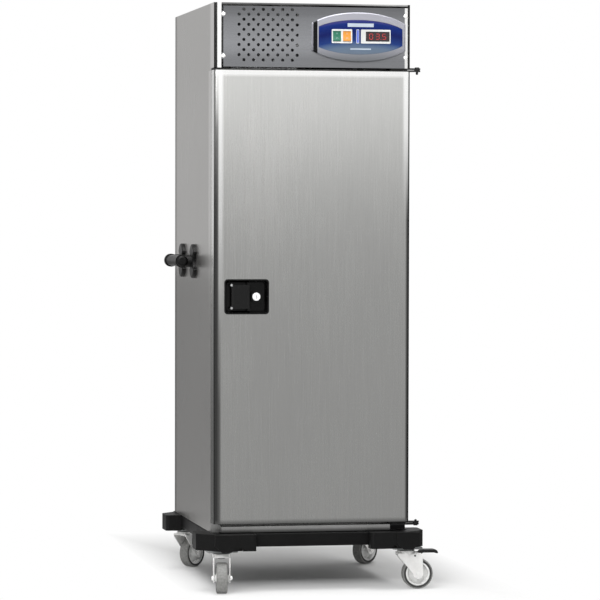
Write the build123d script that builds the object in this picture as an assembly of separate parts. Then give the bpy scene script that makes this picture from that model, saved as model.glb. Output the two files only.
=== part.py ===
from build123d import *
import math
import os

# Refrigerated banquet cart, built in millimetres.
# While a piece is made, x = 0 is the middle of the cabinet, y = 0 is the front
# of the cabinet without its door, +y runs to the back and z = 0 is the floor.
# The last lines move every piece so that x and y start from the middle of the whole.

# Cabinet
cabinet_width = 645.0
cabinet_depth = 750.0
cabinet_top = 1898.0
sheet = 1.0
wall = 45.0
cavity_radius = 14.0
frame_thickness = 8.0
rear_flange = 22.0
fit_gap = 0.3

# Door
door_thickness = 56.0
door_lift = 31.0
door_radius = 8.5
gasket_gap = 7.0
gasket_width = 16.0
liner_step = 17.0
liner_margin = 26.0
door_return = 14.0

# Hood with the machine in it, from the top edge of the door to the lid
hood_height = 216.0
cheek_gap = 7.0
hood_gap = 19.0
fascia_skirt = 8.5
post_left = 23.5
post_right = 8.0
post_return = 9.0
post_groove = 7.0
fascia_recess = 2.0
fascia_sheet = 1.2
top_slot = 5.5
lid_lip = 5.0
hole_diameter = 10.2
hole_row_pitch = 16.2
hole_pitch = 31.7
hole_inset_x = 81.5
hole_inset_z = 21.0

# Control panel
bezel_width = 309.0
bezel_height = 160.0
bezel_margin = 9.0
bezel_rise = 9.0
bezel_round = 184.0
label_margin = 24.0
grip_height = 78.0
grip_width = 14.0
grip_margin = 4.0
rocker_width = 26.0
rocker_height = 32.0
rocker_pitch = 33.0
rocker_tilt = 9.0
stem_inset = 0.8

# Latch
dish_width = 146.0
dish_height = 113.0
dish_inset = 107.5
dish_z = 953.5
dish_depth = 24.0
dish_wall = 2.0
paddle_width = 56.0
paddle_height = 77.0
paddle_offset = 7.5
lock_offset = 32.0
lock_radius = 13.0
bolt_height = 14.0
bolt_thickness = 8.0
bolt_travel = 12.0

# Door hinges
hinge_out = 26.5
hinge_back = 18.0
arm_thickness = 5.0
arm_width = 22.0
pin_radius = 4.0
pin_play = 0.6
lower_gap = 2.0
washer_radius = 9.0
running_gap = 0.05

# Chassis and castors
beam_height = 44.0
beam_width = 30.0
beam_wall = 3.0
bumper_front = 100.0
bumper_side_reach = 52.5
bumper_drop = 9.0
castor_inset = 17.5
castor_shift = 12.0
castor_front_y = -38.0
castor_rear_inset = 50.0
castor_plate_thickness = 6.0
wheel_radius = 50.0
tread_width = 36.0
tyre_depth = 11.0
tyre_clearance = 13.5
crown_height = 11.0
raceway_height = 6.5
raceway_gap = 0.5
trail = 37.0
fork_sheet = 3.0
axle_radius = 4.0
pedal_reach = 104.0
fork_clearance = 6.5
plate_length = 98.0
plate_width = 78.0

# Push handle
handle_z = 1063.0
handle_span = 233.0
handle_rear_inset = 197.0
handle_standoff = 45.0
handle_radius = 18.5
flange_height = 113.0
flange_depth = 95.0
flange_thickness = 13.0
flange_bite = 29.0
sleeve_half = 9.0

# Tray racks
ledge_pitch = 105.0
ledge_width = 25.0
ledge_sheet = 1.5
rack_space = 9.0

# Sizes that follow from those above
castor_height = (
    2 * wheel_radius
    + tyre_clearance
    + crown_height
    + raceway_height
    + castor_plate_thickness
)
chassis_top = castor_height + bumper_drop + beam_height
door_height = cabinet_top - hood_height - door_lift - chassis_top
half_width = cabinet_width / 2
inner_half = half_width - sheet
cavity_half = half_width - wall
cavity_back = cabinet_depth - wall
cavity_bottom = chassis_top + wall
door_front = -door_thickness
door_bottom = chassis_top + door_lift
door_top = door_bottom + door_height
cheek_bottom = door_top + cheek_gap
deck_top = cheek_bottom
cavity_top = deck_top - wall
fascia_bottom = door_top + hood_gap
fascia_front = door_front + fascia_recess
fascia_top = cabinet_top - lid_lip - top_slot
fascia_left = -half_width + post_left + post_groove
fascia_right = half_width - post_right - 0.5
bezel_x = fascia_right - bezel_margin - bezel_width / 2
bezel_left = bezel_x - bezel_width / 2
bezel_z = (fascia_bottom + fascia_top) / 2 - 3
hinge_x = half_width + hinge_out
hinge_y = door_front + hinge_back
beam_bottom = chassis_top - beam_height
web_bottom = castor_height
castor_plate_bottom = web_bottom - castor_plate_thickness
axle_bore = axle_radius + running_gap
castor_left = castor_shift - (half_width - castor_inset)
castor_right = castor_shift + (half_width - castor_inset)
castor_rear_y = cabinet_depth - castor_rear_inset
machine_room = cabinet_top - sheet - deck_top


def block(x0, x1, y0, y1, z0, z1):
    middle = Pos((x0 + x1) / 2, (y0 + y1) / 2, (z0 + z1) / 2)
    return middle * Box(x1 - x0, y1 - y0, z1 - z0)


def rect(x0, x1, y0, y1, radius=0):
    size = (x1 - x0, y1 - y0)
    shape = RectangleRounded(*size, radius) if radius else Rectangle(*size)
    return Pos((x0 + x1) / 2, (y0 + y1) / 2) * shape


def outline(*points):
    """A filled outline that faces up, whichever way round it is listed."""
    turned = zip(points, points[1:] + points[:1])
    area = sum(a[0] * b[1] - b[0] * a[1] for a, b in turned)
    ordered = points if area > 0 else points[::-1]
    return Polygon(*ordered, align=None)


def soften(sketch, corners, radius):
    picked = [
        min(sketch.vertices(), key=lambda v: (v.X - x) ** 2 + (v.Y - y) ** 2)
        for x, y in corners
    ]
    return fillet(picked, radius)


def upright(sketch, z0, z1):
    """A plan drawn in x and y, raised from z0 to z1."""
    return extrude(Pos(0, 0, z0) * sketch, z1 - z0)


def facing(y):
    """The plane at y whose sketches are drawn in x and z and look to the front."""
    return Plane(origin=(0, y, 0), x_dir=(1, 0, 0), z_dir=(0, -1, 0))


def frontal(sketch, y0, y1):
    """A front view drawn in x and z, filled from y0 to y1."""
    return extrude(facing(y1) * sketch, y1 - y0)


def lateral(sketch, x0, x1):
    """A side view drawn in y and z, filled from x0 to x1."""
    plane = Plane(origin=(x0, 0, 0), x_dir=(0, 1, 0), z_dir=(1, 0, 0))
    return extrude(plane * sketch, x1 - x0)


def rod(x, y, z0, z1, radius):
    return upright(Pos(x, y) * Circle(radius), z0, z1)


def peg(x, z, y0, y1, radius):
    return frontal(Pos(x, z) * Circle(radius), y0, y1)


def axle(y, z, x0, x1, radius):
    return lateral(Pos(y, z) * Circle(radius), x0, x1)


def mirrored(shape):
    return mirror(shape, about=Plane.YZ)


def side_panel(post_width):
    """Right-hand sheet: a web with a rear flange and a cheek with a rounded post."""
    rear = rect(half_width - rear_flange, half_width, 0, cabinet_depth)
    rear -= rect(0, inner_half, -1, cabinet_depth - sheet)
    cheek = rect(half_width - post_width, half_width, door_front, cabinet_depth)
    cheek += rect(half_width - rear_flange, half_width, 0, cabinet_depth)
    bend = min(door_radius, post_width - sheet)
    cheek = soften(cheek, [(half_width, door_front)], bend)
    hollow = rect(0, inner_half, door_front + sheet, cabinet_depth - sheet)
    hollow = soften(hollow, [(inner_half, door_front + sheet)], bend - sheet)
    if post_width > post_return:
        inner = half_width - post_width
        hollow -= rect(inner, inner + sheet, door_front, door_front + post_return)
    panel = upright(rear, chassis_top, cheek_bottom)
    return panel + upright(cheek - hollow, cheek_bottom, cabinet_top)


def right_side_panel():
    """The hinge arm leaves the hood through a slot in this cheek."""
    reach = arm_width / 2 + 1.5
    slot = block(
        inner_half - 1,
        half_width + 1,
        hinge_y - reach,
        hinge_y + reach,
        cheek_bottom - 1,
        deck_top + arm_thickness + 1.5,
    )
    return side_panel(post_right) - slot


louvre_width = 150.0
louvre_depth = 7.0
louvre_rise = 15.0
louvre_pitch = 24.0
louvre_count = 5
louvre_x = 95.0
inlet_x = half_width - 87.5
inlet_width = 50.0
inlet_height = 28.0


def inlet_hole(clearance):
    """The mouth that the mains inlet is pushed into."""
    half = inlet_width / 2 - 7 + clearance
    tall = inlet_height / 2 - 3 + clearance
    middle = deck_top + 40
    return rect(inlet_x - half, inlet_x + half, middle - tall, middle + tall, 3)


def back_panel():
    """Sheet inside the rear flanges, with pressed louvres for the warm air."""
    edge = inner_half - fit_gap
    face = cabinet_depth - sheet
    inside = face - sheet
    top = cabinet_top - sheet - fit_gap
    panel = block(-edge, edge, inside, face, chassis_top, top)
    for side in (-1, 1):
        for i in range(louvre_count):
            z = deck_top + 70 + i * louvre_pitch
            x0 = side * louvre_x - louvre_width / 2
            x1 = x0 + louvre_width
            slope = outline((inside, z), (face + louvre_depth, z), (inside, z + louvre_rise))
            hood = lateral(slope, x0, x1)
            mouth = outline(
                (inside - 1, z - 1),
                (face + louvre_depth - 2 * sheet, z - 1),
                (face + louvre_depth - 2 * sheet, z),
                (inside - 1, z + louvre_rise - 2.5 * sheet),
            )
            panel = panel + hood - lateral(mouth, x0 + sheet, x1 - sheet)
    return panel - frontal(inlet_hole(fit_gap), inside - 1, face + 1)


def power_inlet():
    """Recessed appliance inlet with three flat pins, let into the back panel."""
    middle = deck_top + 40
    face = cabinet_depth - sheet
    plate = rect(
        inlet_x - inlet_width / 2,
        inlet_x + inlet_width / 2,
        middle - inlet_height / 2,
        middle + inlet_height / 2,
        6,
    )
    for side in (-1, 1):
        plate -= Pos(inlet_x + side * (inlet_width / 2 - 5), middle) * Circle(1.6)
    body = frontal(plate, face, face + 3)
    body += frontal(inlet_hole(0), face - 26, face + 1)
    body -= frontal(inlet_hole(-3), face - 20, face + 4)
    for side, rise in ((-1, -2), (0, 3), (1, -2)):
        x = inlet_x + side * 7
        z = middle + rise
        body += block(x - 1, x + 1, face - 21, face - 4, z - 2, z + 2)
    return body


def base_pan():
    edge = inner_half - fit_gap
    back = cabinet_depth - 2 * sheet
    return block(-edge, edge, frame_thickness, back, chassis_top, chassis_top + sheet)


def machine_deck():
    """Floor of the hood, with the hole that the pipes go down through."""
    edge = inner_half - fit_gap
    plan = rect(-edge, edge, 0, cabinet_depth - 2 * sheet)
    plan -= Pos(0, cavity_back - 40) * Circle(18)
    return upright(plan, deck_top - sheet, deck_top)


def front_frame():
    """Ring that the door gasket closes on, with a lip round the cavity mouth."""
    edge = inner_half
    ring = rect(-edge, edge, chassis_top, deck_top - sheet)
    ring -= rect(-cavity_half, cavity_half, cavity_bottom, cavity_top, cavity_radius)
    return frontal(ring, 0, frame_thickness)


def cavity(grow, y0, y1):
    """The cold room as a solid, grown by the thickness of its own sheet."""
    room = frontal(
        rect(
            -cavity_half - grow,
            cavity_half + grow,
            cavity_bottom - grow,
            cavity_top + grow,
            cavity_radius + grow,
        ),
        y0,
        y1,
    )
    rear = room.faces().sort_by(Axis.Y)[-1]
    return fillet(rear.edges(), (cavity_radius + grow) * 0.8)


def inner_liner():
    shell = cavity(sheet, frame_thickness, cavity_back + sheet)
    return shell - cavity(0, frame_thickness - 1, cavity_back)


def cabinet_foam():
    foam = block(
        -inner_half,
        inner_half,
        frame_thickness,
        cabinet_depth - 2 * sheet,
        chassis_top + sheet,
        deck_top - sheet,
    )
    return foam - cavity(sheet, frame_thickness - 1, cavity_back + sheet)


def top_cover():
    """Lid between the cheeks, folded down all round, with a front lip."""
    edge = inner_half - fit_gap
    y0 = door_front + sheet
    y1 = cabinet_depth - 2 * sheet
    z0 = cabinet_top - 24
    lid = block(-edge, edge, y0, y1, z0, cabinet_top)
    lid -= block(-edge + sheet, edge - sheet, y0 + sheet, y1 - sheet, z0 - 1, cabinet_top - sheet)
    lid -= block(-edge - 1, edge + 1, y0 - 1, y0 + sheet + 1, z0 - 1, cabinet_top - lid_lip)
    deep = y0 + door_radius
    lid -= block(-edge - 1, -half_width + post_left + 1, y0 - 1, deep, z0 - 1, cabinet_top + 1)
    lid -= block(half_width - post_right - 1, edge + 1, y0 - 1, deep, z0 - 1, cabinet_top + 1)
    return lid


hole_first_x = -half_width + hole_inset_x
hole_first_z = cabinet_top - hole_inset_z
hole_columns = int((bezel_left - hole_first_x) // hole_pitch)
hole_rows = 1 + int((hole_first_z - fascia_bottom) // hole_row_pitch)


def fascia_holes():
    """Staggered rows of punched holes: every other row has one hole more."""
    holes = []
    for row in range(hole_rows):
        long_row = row % 2 == 1
        count = hole_columns if long_row else hole_columns - 1
        shift = 0 if long_row else hole_pitch / 2
        z = hole_first_z - row * hole_row_pitch
        for i in range(count):
            x = hole_first_x + shift + i * hole_pitch
            holes.append(Pos(x, z) * Circle(hole_diameter / 2))
    return holes


display_width = 98.0
display_height = 45.0
display_x = bezel_x + 55.5
display_z = bezel_z + 2.5
frame_x = bezel_x - 56.0
frame_half = 33.5
frame_tall = 22.5
screw_rise = 26.0
screw_radius = 6.5


def panel_cutouts(clearance):
    """Windows for the switch block and for the display, through plate and bezel."""
    switch = rect(
        frame_x - frame_half + stem_inset - clearance,
        frame_x + frame_half - stem_inset + clearance,
        display_z - frame_tall + stem_inset - clearance,
        display_z + frame_tall - stem_inset + clearance,
        2,
    )
    display = rect(
        display_x - display_width / 2 + stem_inset - clearance,
        display_x + display_width / 2 - stem_inset + clearance,
        display_z - display_height / 2 + stem_inset - clearance,
        display_z + display_height / 2 - stem_inset + clearance,
        2,
    )
    return switch + display


def fascia_panel():
    """Hood front, folded back at its top and bottom edges, punched on the left."""
    back = fascia_front + fascia_sheet
    plate = rect(fascia_left, fascia_right, fascia_bottom - fascia_skirt, fascia_top)
    tab_left = fascia_left - post_groove + fit_gap
    for x, z in screw_places()[:2]:
        plate += rect(tab_left, fascia_left + 1, z - 10, z + 10)
    plate -= fascia_holes()
    plate -= panel_cutouts(fit_gap)
    panel = frontal(plate, fascia_front, back)
    fold = 14.0
    upper = fascia_top - fascia_sheet
    lower = fascia_bottom + fascia_sheet
    panel += block(fascia_left, fascia_right, back, back + fold, upper, fascia_top)
    foot_y = door_front + post_return
    foot_left = fascia_left - post_groove - 12
    panel += block(fascia_left, fascia_left + sheet, back, foot_y + sheet, lower, upper)
    panel += block(foot_left, fascia_left + sheet, foot_y, foot_y + sheet, lower + 6, upper - 20)
    deep = -2.0
    panel += block(fascia_left, fascia_right, back, deep, fascia_bottom, lower)
    return panel


def screw_places():
    x_left = fascia_left
    x_right = fascia_right - 7.0
    z_low = fascia_bottom + screw_rise
    z_high = fascia_top - screw_rise
    return [(x, z) for x in (x_left, x_right) for z in (z_low, z_high)]


def domed_screw(x, z, y, radius, height):
    """Round head on the plane y, with a cross recess."""
    curve = outline((0, 0), (radius, 0), (radius, height * 0.35), (0, height))
    curve = soften(curve, [(radius, height * 0.35)], height * 0.3)
    head = revolve(Plane.XZ * curve, Axis.Z)
    for turn in (0, 90):
        head -= Rot(0, 0, turn) * Pos(0, 0, height) * Box(radius, 1.4, height)
    return Pos(x, y, z) * Rot(90, 0, 0) * head


def panel_screws():
    return [domed_screw(x, z, fascia_front, screw_radius, 3.6) for x, z in screw_places()]


def bezel_oval(inset):
    return Pos(bezel_x, bezel_z) * Ellipse(bezel_round - inset * 0.8, bezel_height / 2 - inset)


def bezel_outline():
    """An ellipse cut off at both sides."""
    return bezel_oval(0) & (Pos(bezel_x, bezel_z) * Rectangle(bezel_width, bezel_height))


label_left = bezel_left + grip_margin + grip_width + 4.0
label_right = bezel_left + bezel_width - 10.0
label_depth = 3.0
bezel_front = fascia_front - bezel_rise
label_front = bezel_front + 1.2


def label_outline(inset):
    field = rect(
        label_left + inset,
        label_right - inset,
        bezel_z - bezel_height,
        bezel_z + bezel_height,
        5,
    )
    return bezel_oval(label_margin + inset) & field


def control_bezel():
    """Moulded frame: rounded rim, a field for the label and a ribbed grip bar."""
    body = frontal(bezel_outline(), bezel_front, fascia_front)
    rim = body.faces().sort_by(Axis.Y)[0]
    body = chamfer(rim.edges(), 3)
    body -= frontal(label_outline(0), bezel_front - 1, label_front + label_depth)
    x0 = bezel_left + grip_margin
    x1 = x0 + grip_width
    tall = grip_height / 2
    bar = rect(x0, x1, bezel_z - tall, bezel_z + tall, 4)
    body -= frontal(bar, bezel_front - 1, bezel_front + 2.5)
    rib_pitch = grip_height / 9
    for i in range(1, 9):
        z = bezel_z - tall + i * rib_pitch
        body += block(x0, x1, bezel_front + 1, bezel_front + 3, z - 1.5, z + 1.5)
    return body - frontal(panel_cutouts(fit_gap), bezel_front - 1, fascia_front + 1)


def control_label():
    plate = label_outline(fit_gap) - panel_cutouts(fit_gap)
    return frontal(plate, label_front, label_front + label_depth)


rocker_pivot_y = label_front + 3.0
rocker_pin = 2.0
socket_half = rocker_height / 2 + 1.2


def rocker_x(side):
    return frame_x + side * rocker_pitch / 2


def switch_frame():
    """Housing of the two rockers: a flange on the label and a deep body behind."""
    flange = rect(
        frame_x - frame_half,
        frame_x + frame_half,
        display_z - frame_tall,
        display_z + frame_tall,
        3,
    )
    body = frontal(flange, label_front - 2.5, label_front)
    stem = rect(
        frame_x - frame_half + stem_inset,
        frame_x + frame_half - stem_inset,
        display_z - frame_tall + stem_inset,
        display_z + frame_tall - stem_inset,
        2,
    )
    body += frontal(stem, label_front - 1, fascia_front + 22)
    for side in (-1, 1):
        x = rocker_x(side)
        half = rocker_width / 2 + fit_gap
        hole = rect(x - half, x + half, display_z - socket_half, display_z + socket_half)
        body -= frontal(hole, label_front - 3, fascia_front + 18)
        reach = half + 2.0
        body -= axle(rocker_pivot_y, display_z, x - reach, x + reach, rocker_pin + running_gap)
    return body


def rocker(side):
    """One rocker: two shallow faces over a boss that turns on a pin."""
    x = rocker_x(side)
    half = rocker_width / 2
    tall = rocker_height / 2
    face = outline(
        (-6.5, -tall),
        (-4.5, 0),
        (-6.5, tall),
        (1.5, tall),
        (5, 5),
        (5, -5),
        (1.5, -tall),
    )
    round_end = Circle(math.hypot(tall, 5.2))
    body = lateral(soften(face, [(-4.5, 0)], 30) & round_end, -half, half)
    body = chamfer(body.faces().sort_by(Axis.X)[-1].edges().sort_by(Axis.Y)[0:2], 0.6)
    body += axle(0, 0, -half - 1.8, half + 1.8, rocker_pin)
    return Pos(x, rocker_pivot_y, display_z) * Rot(-rocker_tilt, 0, 0) * body


def display_module():
    """Display frame with a sunk window and the pilot lamp beside it."""
    half = display_width / 2
    tall = display_height / 2
    flange = rect(display_x - half, display_x + half, display_z - tall, display_z + tall, 3)
    body = frontal(flange, label_front - 2.5, label_front)
    window = rect(display_x - 33, display_x + 46, display_z - 16, display_z + 16, 1.5)
    body -= frontal(window, label_front - 3, label_front - 1)
    stem = rect(
        display_x - half + stem_inset,
        display_x + half - stem_inset,
        display_z - tall + stem_inset,
        display_z + tall - stem_inset,
        2,
    )
    body += frontal(stem, label_front - 0.9, fascia_front + 30)
    left = display_x - half
    lamp = rect(left - 15, left - 6, display_z - tall, display_z + tall, 2)
    return [body, frontal(lamp, label_front - 1.8, label_front)]


compressor_x = half_width - 172.5
compressor_y = 330.0
compressor_radius = 76.0
compressor_height = machine_room - 36.0


def compressor():
    """Welded shell in two halves on a foot plate with four rubber feet."""
    r = compressor_radius
    h = compressor_height
    seam = h * 0.5
    section = outline(
        (0, 14),
        (r * 0.8, 14),
        (r, 40),
        (r, seam),
        (r + 5, seam),
        (r + 5, seam + 6),
        (r - 1, seam + 6),
        (r * 0.7, h - 12),
        (0, h),
    )
    section = soften(section, [(r * 0.8, 14), (r, 40), (r * 0.7, h - 12)], 14)
    shell = revolve(Plane.XZ * section, Axis.Z)
    foot = upright(rect(-r - 14, r + 14, -r + 6, r - 6, 12), 10, 16)
    body = shell + foot
    for x in (-r - 2, r + 2):
        for y in (-r + 20, r - 20):
            body += rod(x, y, 0, 20, 9)
    body += block(r - 12, r + 22, -20, 20, 60, 104)
    body += rod(-r * 0.4, 0, h * 0.8, h + 14, 5)
    return Pos(compressor_x, compressor_y, deck_top) * body


coil_width = 216.0
coil_depth = 44.0
coil_x = -half_width + 175.5
fan_radius = 68.0


def finned_coil(width, depth, height, fins, tubes):
    """Upright fins on level tubes with return bends, standing on z = 0."""
    body = block(-width / 2, width / 2, 0, depth, 0, 3)
    for i in range(fins):
        x = -width / 2 + i * (width - 1.5) / (fins - 1)
        body += block(x, x + 1.5, 0, depth, 0, height)
    for i in range(tubes):
        z = height * (i + 0.5) / tubes
        body += axle(depth / 2, z, -width / 2 - 8, width / 2 + 8, 5)
    tube = 5
    for i in range(tubes - 1):
        side = 1 if i % 2 else -1
        z = height * (i + 1) / tubes
        reach = height / tubes / 2 + tube
        x = side * (width / 2 + 11)
        body += block(x - 3, x + 3, depth / 2 - tube, depth / 2 + tube, z - reach, z + reach)
    return body


condenser_y = 12.0
condenser_height = machine_room - 32.0
shroud_y = condenser_y + coil_depth + 1.0
shroud_z = deck_top + condenser_height / 2 + 6.0
fan_hub = 20.0


def condenser_coil():
    coil = finned_coil(coil_width, coil_depth, condenser_height, 15, 4)
    return Pos(coil_x, condenser_y, deck_top) * coil


def fan_shroud():
    """Plate with a short duct round the fan, and a bridge that holds the motor."""
    half = coil_width / 2
    face = rect(coil_x - half, coil_x + half, deck_top, deck_top + condenser_height + 6, 6)
    hole = Pos(coil_x, shroud_z) * Circle(fan_radius + 4)
    body = frontal(face - hole, shroud_y, shroud_y + 2)
    duct = Pos(coil_x, shroud_z) * (Circle(fan_radius + 6) - Circle(fan_radius + 4))
    body += frontal(duct, shroud_y, shroud_y + 30)
    foot = block(coil_x - half, coil_x + half, shroud_y, shroud_y + 26, deck_top, deck_top + 2)
    body += foot
    bridge = Pos(coil_x, shroud_z) * Rectangle(2 * fan_radius + 9, 12)
    body += frontal(bridge, shroud_y + 30, shroud_y + 33)
    body += peg(coil_x, shroud_z, shroud_y + 28, shroud_y + 66, 26)
    return body + peg(coil_x, shroud_z, shroud_y + 13, shroud_y + 29, 3)


def fan_rotor(radius, hub, blades, width, bore, thickness=1.6):
    """Axial fan on z: a capped hub and twisted blades lofted from root to tip."""
    body = Cylinder(hub, width, align=(Align.CENTER, Align.CENTER, Align.MIN))
    for i in range(blades):
        root = Plane(origin=(hub - 2, 0, width / 2), x_dir=(0, 1, 0), z_dir=(1, 0, 0))
        tip = Plane(origin=(radius, 0, width / 2), x_dir=(0, 1, 0), z_dir=(1, 0, 0))
        inner = root * Rot(0, 0, 38) * Rectangle(width * 1.1, thickness)
        outer = tip * Rot(0, 0, 22) * Rectangle(width * 2.1, thickness)
        body += Rot(0, 0, i * 360 / blades) * loft([inner, outer])
    return body - Cylinder(bore, width - 3, align=(Align.CENTER, Align.CENTER, Align.MIN))


def condenser_fan():
    rotor = fan_rotor(fan_radius, fan_hub, 5, 16, 3 + running_gap)
    return Pos(coil_x, shroud_y + 25, shroud_z) * Rot(90, 0, 0) * rotor


cover_front = cavity_back - 375.0
cover_half = cavity_half - 41.5
cover_height = 118.0
cooler_fan_y = cover_front + 100.0
cooler_height = 84.0
cooler_fan_radius = 76.0


def evaporator_cover():
    """Hood under the ceiling: air goes in round the fan and out of the front slots."""
    y1 = cavity_back - 12
    z0 = cavity_top - cover_height
    z1 = cavity_top
    side = outline(
        (cover_front, z1),
        (cover_front, z1 - 30),
        (cover_front + 45, z0),
        (y1, z0),
        (y1, z1),
    )
    inner = outline(
        (cover_front + sheet, z1 + 1),
        (cover_front + sheet, z1 - 30),
        (cover_front + 45, z0 + sheet),
        (y1 - sheet, z0 + sheet),
        (y1 - sheet, z1 + 1),
    )
    body = lateral(side, -cover_half, cover_half)
    body -= lateral(inner, -cover_half + sheet, cover_half - sheet)
    body -= rod(0, cooler_fan_y, z0 - 1, z0 + 5, cooler_fan_radius)
    for radius in (24, 44, 64):
        ring = Pos(0, cooler_fan_y) * (Circle(radius + 1.2) - Circle(radius - 1.2))
        body += upright(ring, z0, z0 + 2)
    bar = Rectangle(2 * cooler_fan_radius + 2, 3)
    for turn in range(3):
        body += upright(Pos(0, cooler_fan_y) * Rot(0, 0, 60 * turn) * bar, z0, z0 + 2)
    for i in range(9):
        x = -180 + i * 45
        body -= block(x - 16, x + 16, cover_front - 2, cover_front + 3, z1 - 24, z1 - 10)
    return body


def evaporator_coil():
    coil = finned_coil(2 * cover_half - 92, 60, cooler_height, 17, 3)
    return Pos(0, cavity_back - 96, cavity_top - cooler_height) * coil


motor_drop = 58.0


def evaporator_fan():
    rotor = fan_rotor(cooler_fan_radius - 8, 22, 5, 18, 3 + running_gap)
    place = Pos(0, cooler_fan_y, cavity_top - motor_drop - 3)
    return place * Rot(180, 0, 0) * rotor


def evaporator_motor():
    """Motor hung from the ceiling, with its shaft down into the fan hub."""
    body = rod(0, cooler_fan_y, cavity_top - motor_drop, cavity_top, 27)
    return body + rod(0, cooler_fan_y, cavity_top - motor_drop - 17, cavity_top - motor_drop, 3)


rack_face = cavity_half - rack_space
ledge_front = 60.0
ledge_length = cavity_back - ledge_front - 45.0
ledge_bottom = 30.0
ledge_leg = 18.0
ledge_room = cavity_top - cover_height - cavity_bottom - ledge_bottom
ledge_count = int(ledge_room // ledge_pitch)


def tray_rack():
    """Right-hand rack: two channel posts and folded ledges one above the other."""
    low = cavity_bottom + cavity_radius
    high = cavity_bottom + ledge_bottom + ledge_count * ledge_pitch - ledge_pitch / 2
    pieces = []
    for y in (ledge_front + 60, ledge_front + ledge_length - 60):
        post = rect(rack_face, cavity_half, y - 20, y + 20)
        post -= rect(rack_face + sheet, cavity_half + 1, y - 20 + sheet, y + 20 - sheet)
        pieces.append(upright(post, low, high))
    for i in range(ledge_count):
        z = cavity_bottom + ledge_bottom + i * ledge_pitch
        fold = outline(
            (rack_face, z),
            (rack_face - ledge_width, z),
            (rack_face - ledge_width, z - ledge_sheet),
            (rack_face - ledge_sheet, z - ledge_sheet),
            (rack_face - ledge_sheet, z - ledge_leg),
            (rack_face, z - ledge_leg),
        )
        pieces.append(frontal(fold, ledge_front, ledge_front + ledge_length))
    return pieces


bar_x = -half_width - handle_standoff
handle_rear = cabinet_depth - handle_rear_inset
handle_y = (handle_rear - handle_span, handle_rear)
bar_overhang = 17.0
sleeve_wall = 3.5


def handle_bar():
    """Round push bar with rounded ends."""
    y0 = handle_y[0] - bar_overhang
    y1 = handle_y[1] + bar_overhang
    bar = frontal(Pos(bar_x, handle_z) * Circle(handle_radius), y0, y1)
    ends = bar.edges().filter_by(GeomType.CIRCLE)
    return fillet(ends, bar_overhang - sleeve_half)


def handle_brackets():
    """Wall flange with a lobe above and below, a neck to the bar and a sleeve."""
    pieces = []
    neck = 20.0
    for y in handle_y:
        plate = Pos(y, handle_z) * Ellipse(flange_depth / 2, flange_height / 2)
        for side in (-1, 1):
            away = flange_depth / 2 + 4
            plate -= Pos(y + side * away, handle_z) * Circle(flange_bite)
        plate = fillet(plate.vertices(), 5)
        x1 = -half_width
        x0 = x1 - flange_thickness
        body = lateral(plate, x0, x1)
        rim = body.faces().sort_by(Axis.X)[0]
        body = fillet(rim.edges(), 4)
        body += axle(y, handle_z, bar_x, x1 - 2, neck)
        sleeve = Pos(bar_x, handle_z) * Circle(handle_radius + sleeve_wall)
        body += frontal(sleeve, y - sleeve_half, y + sleeve_half)
        body -= frontal(Pos(bar_x, handle_z) * Circle(handle_radius), y - 60, y + 60)
        pieces.append(body)
    return pieces


def door_plan(inset):
    """Plan of the door with its two rounded front corners."""
    x = half_width - inset
    front = door_front + inset
    back = -gasket_gap - sheet
    plan = rect(-x, x, front, back)
    return soften(plan, [(-x, front), (x, front)], door_radius - inset)


dish_x = -half_width + dish_inset
paddle_pivot_x = dish_x + paddle_offset
lock_x = dish_x + lock_offset
dish_left = dish_x - dish_width / 2
dish_right = dish_x + dish_width / 2
dish_low = dish_z - dish_height / 2
dish_high = dish_z + dish_height / 2
dish_bottom_y = door_front + dish_depth
dish_flange = 4.0
keeper_x = -half_width + 17.0
keeper_sheet = 2.0
case_left = dish_left + 4.0
case_right = case_left + 80.0
case_half = 23.0
door_back = -gasket_gap
bolt_y = (dish_bottom_y + door_back) / 2 + 1.0
bolt_tip = keeper_x + keeper_sheet + 1.5
bolt_tail = bolt_tip + 62.0


def dish_pocket(inset):
    return rect(dish_left + inset, dish_right - inset, dish_low + inset, dish_high - inset, 8)


def dish_body(wall_step):
    """The recess as a tapered solid, grown or shrunk by wall_step."""
    grow = dish_flange - wall_step
    front = facing(door_front - 1) * dish_pocket(grow)
    deep = facing(dish_bottom_y + wall_step) * dish_pocket(grow + 7)
    return loft([front, deep])


def keeper_pocket():
    """Room in the back of the door for the strike."""
    return block(
        keeper_x - 3,
        keeper_x + keeper_sheet + 4,
        door_back - 22,
        door_back + 3,
        dish_z - 21,
        dish_z + 21,
    )


def bolt_channel(clearance):
    half_y = bolt_thickness / 2 + clearance
    half_z = bolt_height / 2 + clearance
    return block(
        keeper_x + keeper_sheet,
        bolt_tail + bolt_travel + 2,
        bolt_y - half_y,
        bolt_y + half_y,
        dish_z - half_z,
        dish_z + half_z,
    )


def latch_case(inset):
    return block(
        case_left + inset,
        case_right - inset,
        dish_bottom_y + dish_wall,
        door_back - 2 - inset,
        dish_z - case_half + inset,
        dish_z + case_half - inset,
    )


def dish_mouth():
    """The hole in the door sheet that the recess is let in through."""
    mouth = dish_pocket(dish_flange - dish_wall)
    return frontal(mouth, door_front - 1, door_front + sheet + 0.1)


def door_opening():
    """The back of the door inside its return flange, as a front view."""
    x = half_width - door_return
    return rect(-x, x, door_bottom + door_return, door_top - door_return)


def door_skin():
    """Folded outer sheet: rounded upright edges and a return flange all round."""
    skin = upright(door_plan(0), door_bottom, door_top)
    hollow = door_plan(sheet) & rect(-half_width, half_width, door_front, door_back - 2 * sheet)
    skin -= upright(hollow, door_bottom + sheet, door_top - sheet)
    skin -= frontal(door_opening(), door_back - 3, door_back + 1)
    skin -= dish_body(dish_wall)
    skin -= dish_mouth()
    return skin - keeper_pocket()


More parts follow.
